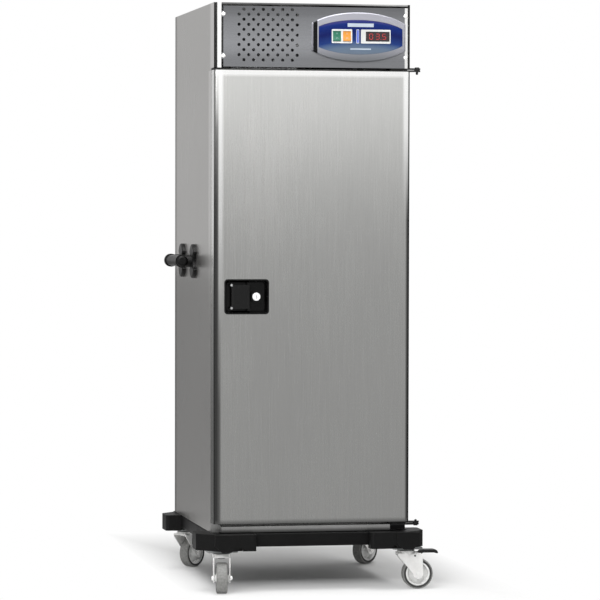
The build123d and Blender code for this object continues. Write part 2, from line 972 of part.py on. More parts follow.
def liner_pan(inset, y0, y1):
    """Raised panel that stands into the cavity when the door is shut."""
    edge = cavity_half - liner_margin + inset
    low = cavity_bottom + liner_margin - inset
    high = cavity_top - liner_margin + inset
    wide = facing(y0) * rect(-edge, edge, low, high, 20)
    narrow = facing(y1) * rect(-edge + 6, edge - 6, low + 6, high - 6, 16)
    return loft([wide, narrow])


def door_liner():
    """Inner sheet of the door with its raised panel."""
    edge = half_width - 2
    low = door_bottom + 2
    high = door_top - 2
    plate = frontal(rect(-edge, edge, low, high, 3), door_back - sheet, door_back)
    body = plate + liner_pan(0, door_back - sheet, door_back + liner_step)
    body -= liner_pan(-sheet, door_back - sheet, door_back + liner_step - sheet)
    return body - keeper_pocket()


def door_foam():
    back = door_back - sheet
    plan = door_plan(sheet) & rect(-half_width, half_width, door_front, back - sheet)
    foam = upright(plan, door_bottom + sheet, door_top - sheet)
    foam += frontal(door_opening(), back - sheet, back)
    foam += liner_pan(-sheet, back, door_back + liner_step - sheet)
    foam -= dish_body(dish_wall)
    foam -= dish_mouth()
    foam -= latch_case(0)
    foam -= bolt_channel(0.6)
    return foam - keeper_pocket()


def door_gasket():
    """Magnetic seal in three steps: foot, neck and soft head."""
    outer_x = cavity_half + 3 + gasket_width
    low = cavity_bottom - 3 - gasket_width
    high = cavity_top + 3 + gasket_width

    def ring(inset, width, y0, y1):
        x = outer_x - inset
        z0 = low + inset
        z1 = high - inset
        shape = rect(-x, x, z0, z1, 10 - inset)
        shape -= rect(-x + width, x - width, z0 + width, z1 - width, 3)
        return frontal(shape, y0, y1)

    foot = ring(0, gasket_width, door_back, door_back + 2)
    neck = ring(4, gasket_width - 8, door_back + 1, door_back + 4)
    head = ring(1.5, gasket_width - 3, door_back + 3.5, -fit_gap)
    return foot + neck + head


paddle_pivot_y = door_front + 5.0
paddle_pin = 2.5
ear = 5.0
ear_gap = 2.0
dish_rim = 1.6
pin_reach = paddle_height / 2 + ear_gap + ear


def latch_dish():
    """Moulded recess with its case, the bearing ears and the lock boss."""
    rim = rect(dish_left, dish_right, dish_low, dish_high, 11)
    body = frontal(rim, door_front - dish_rim, door_front) + dish_body(dish_wall)
    body -= dish_body(0)
    body -= frontal(dish_pocket(dish_flange + 0.1), door_front - 2, door_front)
    body += latch_case(0)
    body -= bolt_channel(0.15)
    for side in (-1, 1):
        z = dish_z + side * (paddle_height / 2 + ear_gap + ear / 2)
        tab = rect(paddle_pivot_x - 5, paddle_pivot_x + 5, z - ear / 2, z + ear / 2)
        body += frontal(tab, paddle_pivot_y - 5, dish_bottom_y + 0.5)
    bore = pin_reach + 1
    body -= rod(
        paddle_pivot_x,
        paddle_pivot_y,
        dish_z - bore,
        dish_z + bore,
        paddle_pin + running_gap,
    )
    body += peg(lock_x, dish_z, door_front + 0.5, dish_bottom_y + 0.5, lock_radius + 5.5)
    body -= peg(lock_x, dish_z, door_front - 5, dish_bottom_y + 0.2, lock_radius + running_gap)
    return body


def latch_paddle():
    """Pull plate with a curled finger lip, on a barrel that turns on its pin."""
    left = paddle_pivot_x - paddle_width
    front = door_front - 0.8
    plan = outline(
        (paddle_pivot_x, front),
        (left + 6, front),
        (left, front + 2.5),
        (left, front + 11),
        (left + 2.5, front + 11),
        (left + 3, front + 4.5),
        (left + 8, front + 3.2),
        (paddle_pivot_x, front + 3.2),
    )
    low = dish_z - paddle_height / 2
    high = dish_z + paddle_height / 2
    body = upright(plan, low, high)
    body += rod(paddle_pivot_x, paddle_pivot_y, low, high, 4.5)
    tail = rect(paddle_pivot_x - 3, paddle_pivot_x + 3, paddle_pivot_y, dish_bottom_y - 3, 1)
    body += upright(tail, dish_z - 12, dish_z + 12)
    pin = rod(paddle_pivot_x, paddle_pivot_y, dish_z - pin_reach, dish_z + pin_reach, paddle_pin)
    return body + pin


def lock_cylinder():
    """Key cylinder with a rounded face and a key slot."""
    body = peg(lock_x, dish_z, door_front - 0.6, dish_bottom_y, lock_radius)
    rim = body.faces().sort_by(Axis.Y)[0]
    body = fillet(rim.edges(), 1.5)
    slot = rect(lock_x - 1.2, lock_x + 1.2, dish_z - 5, dish_z + 5)
    return body - frontal(slot, door_front - 2, door_front + 6)


def latch_bolt():
    """Sliding bolt with a slanted nose."""
    half_y = bolt_thickness / 2
    plan = outline(
        (bolt_tip, bolt_y - half_y),
        (bolt_tip, bolt_y - half_y + 2.5),
        (bolt_tip + 6, bolt_y + half_y),
        (bolt_tail, bolt_y + half_y),
        (bolt_tail, bolt_y - half_y),
    )
    return upright(plan, dish_z - bolt_height / 2, dish_z + bolt_height / 2)


def latch_strike():
    """Angle bracket on the front frame with the window that the bolt enters."""
    foot = block(keeper_x - 11, keeper_x + 7, -2.5, 0, dish_z - 28, dish_z + 28)
    arm = block(keeper_x, keeper_x + keeper_sheet, door_back - 19, 0, dish_z - 17, dish_z + 17)
    window = block(
        keeper_x - 1,
        keeper_x + keeper_sheet + 1,
        bolt_y - bolt_thickness / 2 - 1,
        bolt_y + bolt_thickness / 2 + 1,
        dish_z - bolt_height / 2 - 1,
        dish_z + bolt_height / 2 + 1,
    )
    return foot + arm - window


def arm_plan(inner_x):
    """Strap along the door edge with a round eye at the hinge line."""
    half = arm_width / 2
    strap = rect(inner_x, hinge_x, hinge_y - half, hinge_y + half, 4)
    return strap + Pos(hinge_x, hinge_y) * Circle(half)


hinge_inner = half_width - 68.0
bracket_inner = half_width - 62.0
bracket_leg = 44.0
bracket_depth = 34.0
foot_inner = half_width - 60.0
foot_outer = half_width - 2.0
foot_sheet = 6.0
pin_head = 3.0
pin_tail_upper = 9.0
pin_tail_lower = 5.0
washer = cheek_gap - arm_thickness - pin_play


def hinge_arm(z0):
    """Door half of a hinge: the strap screwed to the door, bored for the pin."""
    plan = arm_plan(hinge_inner) - Pos(hinge_x, hinge_y) * Circle(pin_radius + running_gap)
    return upright(plan, z0, z0 + arm_thickness)


def hinge_pin(z0, z1, head_up):
    """Pin with a domed head on one end and a cone on the other."""
    length = z1 - z0
    pin = rod(hinge_x, hinge_y, 0, length, pin_radius)
    tip = pin.faces().sort_by(Axis.Z)[-1]
    pin = chamfer(tip.edges(), 2)
    pin += rod(hinge_x, hinge_y, -pin_head, 0, pin_radius + pin_head)
    if head_up:
        pin = Pos(0, 0, z1) * mirror(pin, about=Plane.XY)
    else:
        pin = Pos(0, 0, z0) * pin
    return pin


def hinge_bracket_upper():
    """Arm on the machine deck that reaches out over the door, with its pin."""
    plan = arm_plan(bracket_inner)
    leg = rect(
        bracket_inner,
        bracket_inner + bracket_leg,
        hinge_y - arm_width / 2,
        bracket_depth,
        4,
    )
    plan = plan + leg - Pos(hinge_x, hinge_y) * Circle(pin_radius)
    body = upright(plan, deck_top, deck_top + arm_thickness)
    ring = Pos(hinge_x, hinge_y) * (Circle(washer_radius) - Circle(pin_radius))
    body += upright(ring, deck_top - washer, deck_top)
    return [body, hinge_pin(door_top - pin_tail_upper, deck_top + arm_thickness, True)]


lower_arm_top = door_bottom - arm_thickness - lower_gap


def hinge_bracket_lower():
    """Angle on the front frame below the door, with its pin."""
    plan = arm_plan(foot_inner)
    plan += rect(foot_inner, foot_outer, hinge_y - arm_width / 2, 0, 4)
    plan = plan - Pos(hinge_x, hinge_y) * Circle(pin_radius)
    body = upright(plan, lower_arm_top - arm_thickness, lower_arm_top)
    body += block(foot_inner, foot_outer, -foot_sheet, 0, chassis_top + 1, lower_arm_top)
    ring = Pos(hinge_x, hinge_y) * (Circle(washer_radius) - Circle(pin_radius))
    body += upright(ring, lower_arm_top, lower_arm_top + lower_gap - pin_play)
    return [body, hinge_pin(lower_arm_top - arm_thickness, door_bottom + pin_tail_lower, False)]


gutter_left = -half_width + 28.0
gutter_right = foot_inner - 2.0
gutter_low = chassis_top + 3.0
gutter_high = door_bottom - arm_thickness - 3.0


def drip_gutter():
    """Folded channel under the door for melt water, closed at both ends."""
    front = door_front + 5
    side = outline(
        (0, gutter_high),
        (0, gutter_low),
        (front, gutter_low),
        (front, gutter_high - 1),
        (front + sheet, gutter_high - 1),
        (front + sheet, gutter_low + sheet),
        (-sheet, gutter_low + sheet),
        (-sheet, gutter_high),
    )
    body = lateral(side, gutter_left, gutter_right)
    body += axle(front + 2, gutter_high - 2.2, gutter_left, gutter_right, 2)
    end = outline((0, gutter_low), (front, gutter_low), (front, gutter_high - 2), (0, gutter_high))
    for x in (gutter_left, gutter_right - sheet):
        body += lateral(end, x, x + sheet)
    return body


frame_front = door_front + 2.0
turn_y = castor_front_y + castor_rear_y
frame_back = turn_y - frame_front


def beam(length, width):
    """Rectangular tube with rounded corners along x, its middle on the origin."""
    section = RectangleRounded(width, beam_height, 5)
    section -= RectangleRounded(width - 2 * beam_wall, beam_height - 2 * beam_wall, 2)
    return Pos(-length / 2, 0, 0) * extrude(Plane.YZ * section, length)


def chassis_frame():
    """Welded frame: front and rear beams, side beams and two cross members."""
    z = chassis_top - beam_height / 2
    half = beam_width / 2
    pieces = []
    for y in (frame_front + half, frame_back - half):
        pieces.append(Pos(0, y, z) * beam(cabinet_width, beam_width))
    y0 = frame_front + beam_width
    y1 = frame_back - beam_width
    for side in (-1, 1):
        x = side * (half_width - half)
        pieces.append(Pos(x, (y0 + y1) / 2, z) * Rot(0, 0, 90) * beam(y1 - y0, beam_width))
    inner = cabinet_width - 2 * beam_width
    for share in (1 / 3, 2 / 3):
        pieces.append(Pos(0, y0 + (y1 - y0) * share, z) * beam(inner, beam_width))
    return pieces


bumper_inner_x = half_width - 134.5
bumper_side = half_width + bumper_side_reach
bumper_skin = 9.0
web_reach = 60.0
web_inset = 20.0
shield_offset = 6.0
bumper_arm = 56.0
bumper_chamfer = 70.0
shield_top_half = 37.5
shield_low_half = 14.5
shield_drop = 57.0
shield_rise = 4.0
relief_width = 17.0
relief_rise = 11.0


def bumper_corner(castor_at):
    """Front right corner casting: outer wall, web under the beams and castor shield."""
    side = bumper_side
    front = -bumper_front
    c = bumper_chamfer
    outer = outline(
        (bumper_inner_x, front),
        (side - c, front),
        (side, front + c),
        (side, bumper_arm),
        (half_width, bumper_arm),
        (half_width, frame_front),
        (bumper_inner_x, frame_front),
    )
    outer = soften(outer, [(bumper_inner_x, front), (side, bumper_arm)], 10)
    body = upright(outer, web_bottom, chassis_top)
    skin = bumper_skin
    web_left = castor_at - web_reach
    web_back = bumper_arm - web_inset
    front_pocket = rect(
        bumper_inner_x + skin,
        web_left,
        front + skin,
        frame_front - skin / 2,
        3,
    )
    side_pocket = rect(
        half_width + skin / 2,
        side - skin,
        front + c + skin / 2,
        bumper_arm - skin,
        3,
    )
    pockets = front_pocket + side_pocket
    body -= upright(pockets, web_bottom - 1, chassis_top - skin)
    web = outline(
        (web_left, frame_front),
        (half_width, frame_front),
        (half_width, web_back),
        (web_left, web_back),
    )
    body += upright(web, web_bottom, beam_bottom)
    pad = outline(
        (web_left, front + 14),
        (side - c, front + 14),
        (side - 14, front + c),
        (side - 14, web_back),
        (web_left, web_back),
    )
    body += upright(pad, web_bottom, beam_bottom)
    x = castor_at - shield_offset
    low = chassis_top - shield_drop
    shield = outline(
        (x - shield_top_half, chassis_top),
        (x - shield_top_half, low + 22),
        (x - shield_low_half, low),
        (x + shield_low_half, low),
        (x + shield_top_half, low + 22),
        (x + shield_top_half, chassis_top),
    )
    shield = soften(shield, [(x - shield_low_half, low), (x + shield_low_half, low)], 5)
    for flank in (-1, 1):
        x0 = x + flank * (shield_top_half + relief_width / 2)
        half = relief_width / 2
        relief = rect(x0 - half, x0 + half, low - 1, web_bottom + relief_rise, 6)
        body -= frontal(relief, front - 1, front + skin + 2)
    return body + frontal(shield, front - shield_rise, front + 8)


def corner_bumpers():
    """The rear castings are the front ones turned end for end."""
    front = [bumper_corner(castor_right), mirrored(bumper_corner(-castor_left))]
    rear = [Pos(0, turn_y, 0) * mirror(piece, about=Plane.XZ) for piece in front]
    return front + rear


castors = {
    "fl": (castor_left, castor_front_y, -98.0),
    "fr": (castor_right, castor_front_y, -4.0),
    "rl": (castor_left, castor_rear_y, 42.0),
    "rr": (castor_right, castor_rear_y, 38.0),
}
race_radius = 31.0
race_height = raceway_height - raceway_gap
king_radius = 6.0
crown_top = castor_plate_bottom - raceway_height
crown_bottom = crown_top - crown_height
fork_inside = tread_width / 2 + fork_clearance
eye_radius = 16.0


def castor_plates():
    """Bolted top plate, raceway and king pin of each castor."""
    pieces = []
    for x, y, turn in castors.values():
        plate = RectangleRounded(plate_length, plate_width, 12)
        for sx in (-1, 1):
            for sy in (-1, 1):
                place = Pos(sx * (plate_length / 2 - 13), sy * (plate_width / 2 - 13))
                plate -= place * SlotOverall(13, 8.5)
        body = upright(plate, castor_plate_bottom, web_bottom)
        seat = (Align.CENTER, Align.CENTER, Align.MIN)
        cone = Cone(race_radius - 5, race_radius + 1, race_height, align=seat)
        body += Pos(0, 0, castor_plate_bottom - race_height) * cone
        body += rod(0, 0, crown_bottom - 5, castor_plate_bottom, king_radius)
        body += rod(0, 0, crown_bottom - 5, crown_bottom - fit_gap, 11)
        pieces.append(Pos(x, y, 0) * body)
    return pieces


def fork_body(with_pedal):
    """Pressed fork: round crown and two cheeks that sweep back to the axle."""
    top = crown_top - 5
    half = fork_inside + fork_sheet
    eye = Pos(trail, wheel_radius) * Circle(eye_radius)
    cheek = outline(
        (-race_radius, top),
        (-race_radius, top - 9),
        (trail - eye_radius, wheel_radius),
        (trail + eye_radius, wheel_radius),
        (trail + 15, top - 30),
        (trail + 13, top - 5),
        (trail + 6, top),
    )
    cheek = soften(cheek, [(trail + 15, top - 30)], 18)
    body = frontal(cheek + eye, -half, half)
    edges = body.faces().sort_by(Axis.Z)[-1].edges().filter_by(Axis.X)
    body = fillet(edges, 6)
    beyond = trail + wheel_radius
    body -= block(-race_radius - 9, beyond, -fork_inside, fork_inside, 0, crown_bottom)
    body -= block(race_radius, beyond, -fork_inside, fork_inside, 0, crown_top)
    body += rod(0, 0, crown_bottom, crown_top, race_radius - 2)
    body -= rod(0, 0, crown_bottom - 1, crown_top + 1, king_radius + running_gap)
    if with_pedal:
        reach = half + 1
        body -= peg(pedal_pivot_x, pedal_pivot_z, -reach, reach, pedal_pin + running_gap)
    return body - peg(trail, wheel_radius, -half - 1, half + 1, axle_radius)


def axle_bolt():
    """Bolt through the fork with a hexagon head and a nut."""
    half = fork_inside + fork_sheet
    body = peg(trail, wheel_radius, -half - 3, half + 3, axle_radius)
    hexagon = Pos(trail, wheel_radius) * RegularPolygon(7.5, 6)
    body += frontal(hexagon, -half - 5, -half)
    return body + frontal(hexagon, half, half + 6)


def wheel_hub():
    """Moulded wheel centre with a dished web and a long boss."""
    half = tread_width / 2
    boss = fork_inside - 0.4
    rim = wheel_radius - tyre_depth
    section = outline(
        (axle_bore, -boss),
        (11, -boss),
        (13, -boss + 7),
        (rim - 8, -5),
        (rim - 5, -half + 1),
        (rim, -half + 1),
        (rim, half - 1),
        (rim - 5, half - 1),
        (rim - 8, 5),
        (13, boss - 7),
        (11, boss),
        (axle_bore, boss),
    )
    body = revolve(Plane.XZ * section, Axis.Z)
    return Pos(trail, 0, wheel_radius) * Rot(90, 0, 0) * body


def tyre():
    """Soft tread with rounded shoulders, moulded on the rim."""
    half = tread_width / 2
    rim = wheel_radius - tyre_depth
    section = outline(
        (rim, -half + 1),
        (rim + 2, -half),
        (wheel_radius, -half),
        (wheel_radius, half),
        (rim + 2, half),
        (rim, half - 1),
    )
    section = soften(section, [(wheel_radius, -half), (wheel_radius, half)], 6)
    body = revolve(Plane.XZ * section, Axis.Z)
    return Pos(trail, 0, wheel_radius) * Rot(90, 0, 0) * body


pedal_pivot_x = 26.0
pedal_pivot_z = crown_bottom - 4.0
pedal_pin = 3.0
pedal_half = 17.0
pedal_depth = 11.0
pedal_castors = ("fr", "rr")


def brake_pedal():
    """Foot pedal on a pin across the fork: a hollow tread with a drooping nose."""
    top = castor_plate_bottom - 2
    under = top - pedal_depth
    side = outline(
        (pedal_pivot_x - 5, pedal_pivot_z - 3.5),
        (pedal_pivot_x + 12, pedal_pivot_z - 4.5),
        (pedal_pivot_x + 28, under),
        (pedal_reach - 14, under),
        (pedal_reach - 3, under - 3),
        (pedal_reach, under),
        (pedal_reach - 3, top - 4),
        (pedal_reach - 14, top),
        (pedal_pivot_x + 30, top),
        (pedal_pivot_x + 18, top - 5),
        (pedal_pivot_x + 12, pedal_pivot_z + 2.5),
        (pedal_pivot_x - 4, pedal_pivot_z + 2.5),
    )
    nose = [(pedal_reach - 3, top - 4), (pedal_reach - 14, top), (pedal_pivot_x + 30, top)]
    body = frontal(soften(side, nose, 5), -pedal_half, pedal_half)
    hollow = pedal_half - 3
    body -= block(pedal_pivot_x + 32, pedal_reach - 16, -hollow, hollow, under - 1, top - 3)
    half = fork_inside + fork_sheet
    return body + peg(pedal_pivot_x, pedal_pivot_z, -half - 1, half + 1, pedal_pin)


def on_castor(shape, name):
    x, y, turn = castors[name]
    return Pos(x, y, 0) * Rot(0, 0, turn) * shape


pieces = {
    "side_panel_left": mirrored(side_panel(post_left)),
    "side_panel_right": right_side_panel(),
    "back_panel": back_panel(),
    "power_inlet": power_inlet(),
    "base_pan": base_pan(),
    "machine_deck": machine_deck(),
    "front_frame": front_frame(),
    "inner_liner": inner_liner(),
    "cabinet_foam": cabinet_foam(),
    "top_cover": top_cover(),
    "fascia_panel": fascia_panel(),
    "panel_screws": panel_screws(),
    "control_bezel": control_bezel(),
    "control_label": control_label(),
    "switch_frame": switch_frame(),
    "rocker_green": rocker(-1),
    "rocker_orange": rocker(1),
    "display_module": display_module(),
    "compressor": compressor(),
    "condenser_coil": condenser_coil(),
    "fan_shroud": fan_shroud(),
    "condenser_fan": condenser_fan(),
    "evaporator_cover": evaporator_cover(),
    "evaporator_coil": evaporator_coil(),
    "evaporator_motor": evaporator_motor(),
    "evaporator_fan": evaporator_fan(),
    "tray_rack_right": tray_rack(),
    "tray_rack_left": [mirrored(p) for p in tray_rack()],
    "handle_bar": handle_bar(),
    "handle_brackets": handle_brackets(),
    "door_skin": door_skin(),
    "door_liner": door_liner(),
    "door_foam": door_foam(),
    "door_gasket": door_gasket(),
    "latch_dish": latch_dish(),
    "latch_paddle": latch_paddle(),
    "lock_cylinder": lock_cylinder(),
    "latch_bolt": latch_bolt(),
    "latch_strike": latch_strike(),
    "hinge_arms": [hinge_arm(door_top), hinge_arm(door_bottom - arm_thickness)],
    "hinge_bracket_upper": hinge_bracket_upper(),
    "hinge_bracket_lower": hinge_bracket_lower(),
    "drip_gutter": drip_gutter(),
    "chassis_frame": chassis_frame(),
    "corner_bumpers": corner_bumpers(),
    "castor_plates": castor_plates(),
}
for name in castors:
    fork = [fork_body(name in pedal_castors), axle_bolt()]
    pieces["fork_" + name] = [on_castor(piece, name) for piece in fork]
    pieces["wheel_hub_" + name] = on_castor(wheel_hub(), name)
    pieces["tyre_" + name] = on_castor(tyre(), name)
    if name in pedal_castors:
        pieces["brake_pedal_" + name] = on_castor(brake_pedal(), name)

# The origin stands on the floor under the middle of the whole cart.
reach_left = -bar_x + handle_radius + sleeve_wall
reach_right = castor_right + pedal_reach
reach_front = -castor_front_y + trail + wheel_radius
reach_back = turn_y + bumper_front + shield_rise
middle_x = (reach_right - reach_left) / 2
middle_y = (reach_back - reach_front) / 2

os.makedirs("parts", exist_ok=True)
for node, shape in pieces.items():
    solids = shape if isinstance(shape, list) else [shape]
    whole = Compound(children=[s for piece in solids for s in piece.solids()])
    export_step(Pos(-middle_x, -middle_y, 0) * whole, "parts/" + node + ".step")
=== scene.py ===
import math

import bmesh
import bpy
from mathutils import Matrix, Vector

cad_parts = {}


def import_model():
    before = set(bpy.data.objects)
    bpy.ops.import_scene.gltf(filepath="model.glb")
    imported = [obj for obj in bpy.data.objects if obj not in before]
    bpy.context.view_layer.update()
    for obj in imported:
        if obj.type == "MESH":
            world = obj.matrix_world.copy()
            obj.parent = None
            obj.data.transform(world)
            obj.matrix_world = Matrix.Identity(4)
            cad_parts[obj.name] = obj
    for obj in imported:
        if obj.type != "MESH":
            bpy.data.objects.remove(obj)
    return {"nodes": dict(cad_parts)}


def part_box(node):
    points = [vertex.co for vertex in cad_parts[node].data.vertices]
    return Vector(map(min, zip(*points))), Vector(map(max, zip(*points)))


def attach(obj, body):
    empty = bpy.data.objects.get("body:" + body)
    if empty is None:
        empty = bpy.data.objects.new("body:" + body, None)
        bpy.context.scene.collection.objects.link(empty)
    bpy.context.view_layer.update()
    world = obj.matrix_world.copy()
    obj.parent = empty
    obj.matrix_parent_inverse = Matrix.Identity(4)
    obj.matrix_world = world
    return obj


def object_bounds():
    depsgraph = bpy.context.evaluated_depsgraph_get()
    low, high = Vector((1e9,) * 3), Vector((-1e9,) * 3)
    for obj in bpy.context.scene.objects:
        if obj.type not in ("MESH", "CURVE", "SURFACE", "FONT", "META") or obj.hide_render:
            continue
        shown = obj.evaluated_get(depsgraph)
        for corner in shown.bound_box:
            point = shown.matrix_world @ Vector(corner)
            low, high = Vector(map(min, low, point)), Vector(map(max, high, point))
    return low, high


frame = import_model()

cad_box = [list(corner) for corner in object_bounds()]
nodes = frame["nodes"]


# Materials. Every finish is a small node graph in the piece's own coordinates.


class Look:
    """A Principled material that is built up node by node."""

    def __init__(self, name, **fixed):
        self.material = bpy.data.materials.new(name)
        self.material.use_nodes = True
        self.tree = self.material.node_tree
        self.tree.nodes.clear()
        output = self.add("ShaderNodeOutputMaterial")
        self.shader = self.add("ShaderNodeBsdfPrincipled")
        self.tree.links.new(self.shader.outputs["BSDF"], output.inputs["Surface"])
        for key, value in fixed.items():
            self.shader.inputs[key.replace("_", " ")].default_value = value
        self.place = self.add("ShaderNodeTexCoord").outputs["Object"]

    def add(self, kind, **settings):
        node = self.tree.nodes.new(kind)
        for key, value in settings.items():
            setattr(node, key, value)
        return node

    def feed(self, socket, value):
        if isinstance(value, bpy.types.NodeSocket):
            self.tree.links.new(value, socket)
        else:
            socket.default_value = value

    def stretched(self, scale, shift=(0, 0, 0)):
        """The piece's own coordinates, scaled and shifted."""
        mapping = self.add("ShaderNodeMapping")
        self.feed(mapping.inputs["Vector"], self.place)
        self.feed(mapping.inputs["Scale"], scale)
        self.feed(mapping.inputs["Location"], shift)
        return mapping.outputs["Vector"]

    def noise(self, scale, detail=3.0, rough=0.55, shift=(0, 0, 0)):
        node = self.add("ShaderNodeTexNoise")
        self.feed(node.inputs["Vector"], self.stretched(scale, shift))
        self.feed(node.inputs["Scale"], 1.0)
        self.feed(node.inputs["Detail"], detail)
        self.feed(node.inputs["Roughness"], rough)
        return node.outputs["Fac"]

    def cells(self, scale):
        node = self.add("ShaderNodeTexVoronoi")
        self.feed(node.inputs["Vector"], self.stretched(scale))
        self.feed(node.inputs["Scale"], 1.0)
        return node.outputs["Distance"]

    def span(self, value, low, high, out_low, out_high):
        """A value that is mapped from one range to another, and held at its ends."""
        node = self.add("ShaderNodeMapRange")
        numbers = (value, low, high, out_low, out_high)
        for key, number in zip(("Value", "From Min", "From Max", "To Min", "To Max"), numbers):
            self.feed(node.inputs[key], number)
        return node.outputs["Result"]

    def math(self, operation, a, b=0.0):
        node = self.add("ShaderNodeMath", operation=operation)
        self.feed(node.inputs[0], a)
        self.feed(node.inputs[1], b)
        return node.outputs["Value"]

    def ramp(self, value, *stops):
        """A colour that runs through (place, colour) stops."""
        node = self.add("ShaderNodeValToRGB")
        bar = node.color_ramp.elements
        while len(bar) < len(stops):
            bar.new(0.5)
        for element, (at, colour) in zip(bar, stops):
            element.position = at
            element.color = (*colour, 1.0)
        self.feed(node.inputs["Fac"], value)
        return node.outputs["Color"]

    def mix(self, factor, a, b):
        node = self.add("ShaderNodeMix", data_type="RGBA")
        self.feed(node.inputs["Factor"], factor)
        for socket, value in ((node.inputs[6], a), (node.inputs[7], b)):
            self.feed(socket, value if isinstance(value, bpy.types.NodeSocket) else (*value, 1.0))
        return node.outputs[2]

    def axis(self, name):
        node = self.add("ShaderNodeSeparateXYZ")
        self.feed(node.inputs["Vector"], self.place)
        return node.outputs[name]

    def profile(self, axis, *stops):
        """A share that runs through (place, share) stops along one axis."""
        low, high = stops[0][0], stops[-1][0]
        way = self.span(self.axis(axis), low, high, 0.0, 1.0)
        return self.ramp(way, *[((at - low) / (high - low), [share] * 3) for at, share in stops])

    def within(self, *bounds):
        """1 inside the bounds, 0 outside: an axis with its low and high, or with soft stops."""
        mask = 1.0
        for name, *ends in bounds:
            if isinstance(ends[0], tuple):
                part = self.profile(name, *ends)
            else:
                value = self.axis(name)
                above = self.math("GREATER_THAN", value, ends[0])
                part = self.math("MULTIPLY", above, self.math("LESS_THAN", value, ends[1]))
            mask = self.math("MULTIPLY", mask, part)
        return mask

    def bent(self):
        """1 where the sheet turns round an upright bend, 0 on its flat faces."""
        split = self.add("ShaderNodeSeparateXYZ")
        self.feed(split.inputs["Vector"], self.add("ShaderNodeTexCoord").outputs["Normal"])
        lean = self.math("ABSOLUTE", split.outputs["X"])
        turned = self.span(lean, 0.12, 0.3, 0.0, 1.0)
        return self.math("MULTIPLY", turned, self.span(lean, 0.97, 0.995, 1.0, 0.0))

    def edges(self, radius):
        """Near 1 on sharp outer and inner edges, 0 on flat ground."""
        bevel = self.add("ShaderNodeBevel", samples=4)
        self.feed(bevel.inputs["Radius"], radius)
        ground = self.add("ShaderNodeNewGeometry")
        dot = self.add("ShaderNodeVectorMath", operation="DOT_PRODUCT")
        self.feed(dot.inputs[0], bevel.outputs["Normal"])
        self.feed(dot.inputs[1], ground.outputs["True Normal"])
        return self.span(dot.outputs["Value"], 0.99, 0.8, 0.0, 1.0)

    def bump(self, height, strength, distance=0.001):
        node = self.add("ShaderNodeBump")
        self.feed(node.inputs["Height"], height)
        self.feed(node.inputs["Strength"], strength)
        self.feed(node.inputs["Distance"], distance)
        self.feed(self.shader.inputs["Normal"], node.outputs["Normal"])

    def set(self, key, value):
        self.feed(self.shader.inputs[key], value)


def brushed(name, tone, rough, along, fine=620.0, depth=0.025, smear=0.05, bend=(), patches=()):
    """Sheet steel with a grain that runs along one axis.

    Its bends are darker and smoother by the share that bend gives at each height; that darkening is a
    painted dark reflection. Each patch is a tone, how far it is metal, and the bounds that it fills.
    """
    look = Look(name, Metallic=1.0, Anisotropic=0.35)
    hair_length = 90  # times its width
    hair_scale = [fine] * 3
    band_scale = [34.0] * 3
    hair_scale["xyz".index(along)] = fine / hair_length
    band_scale["xyz".index(along)] = 0.9
    hair = look.noise(hair_scale, 4.0, 0.7)
    band = look.noise(band_scale, 2.0, 0.5, (3, 7, 1))
    cloud = look.noise((3.1, 3.1, 2.3), 4.0, 0.5, (11, 2, 5))
    fingers = look.noise((21.0, 21.0, 21.0), 3.0, 0.6, (1, 9, 4))
    light = [min(1.0, c * 1.03) for c in tone]
    dark = [c * 0.965 for c in tone]
    colour = look.mix(look.span(hair, 0.3, 0.7, 0.0, 1.0), dark, light)
    colour = look.mix(look.span(band, 0.35, 0.65, 0.0, smear * 2), colour, [c * 0.86 for c in tone])
    worn = look.span(hair, 0.3, 0.7, rough - 0.03, rough + 0.035)
    worn = look.math("ADD", worn, look.span(cloud, 0.35, 0.7, -smear, smear))
    worn = look.math("ADD", worn, look.span(fingers, 0.55, 0.75, 0.0, smear * 0.8))
    # Painted dark reflection: the bends are pulled towards near black
    if bend:
        turned = look.math("MULTIPLY", look.bent(), look.profile("Z", *bend))
        colour = look.mix(turned, colour, [0.02] * 3)
        worn = look.math("SUBTRACT", worn, look.math("MULTIPLY", turned, rough * 0.4))
    metal = 1.0
    for paint, share, bounds in patches:
        inside = look.within(*bounds)
        colour = look.mix(inside, colour, paint)
        if share < 1.0:
            metal = look.span(inside, 0.0, 1.0, metal, share)
    look.set("Metallic", metal)
    look.set("Base Color", colour)
    look.set("Roughness", worn)
    look.bump(hair, depth, 0.0006)
    tangent = look.add("ShaderNodeTangent", direction_type="RADIAL", axis=along.upper())
    look.set("Tangent", tangent.outputs["Tangent"])
    return look.material


def shaded_bezel(name, node, top, bottom, bar, bar_bounds):
    """Satin paint with painted shade, darker towards the underside of the frame, with a black grip bar."""
    low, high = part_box(node)
    look = Look(name, Metallic=0.4, Specular_IOR_Level=0.2)
    skin = look.noise((900, 900, 900), 3.0, 0.6)
    patch = look.noise((9, 9, 9), 4.0, 0.6, (2, 5, 8))
    # Painted shade: the colour runs from the top tone down to the darker bottom tone
    height = look.span(look.axis("Z"), low.z, high.z, 0.0, 1.0)
    middle = [0.75 * t + 0.25 * b for t, b in zip(top, bottom)]
    colour = look.ramp(height, (0.0, bottom), (0.3, middle), (0.75, top), (1.0, top))
    colour = look.mix(look.span(patch, 0.3, 0.7, 0.0, 0.1), colour, [c * 0.7 for c in top])
    colour = look.mix(look.within(*bar_bounds), colour, bar)
    look.set("Base Color", colour)
    look.set("Roughness", look.span(patch, 0.3, 0.7, 0.28, 0.38))
    look.bump(skin, 0.06, 0.0005)
    return look.material


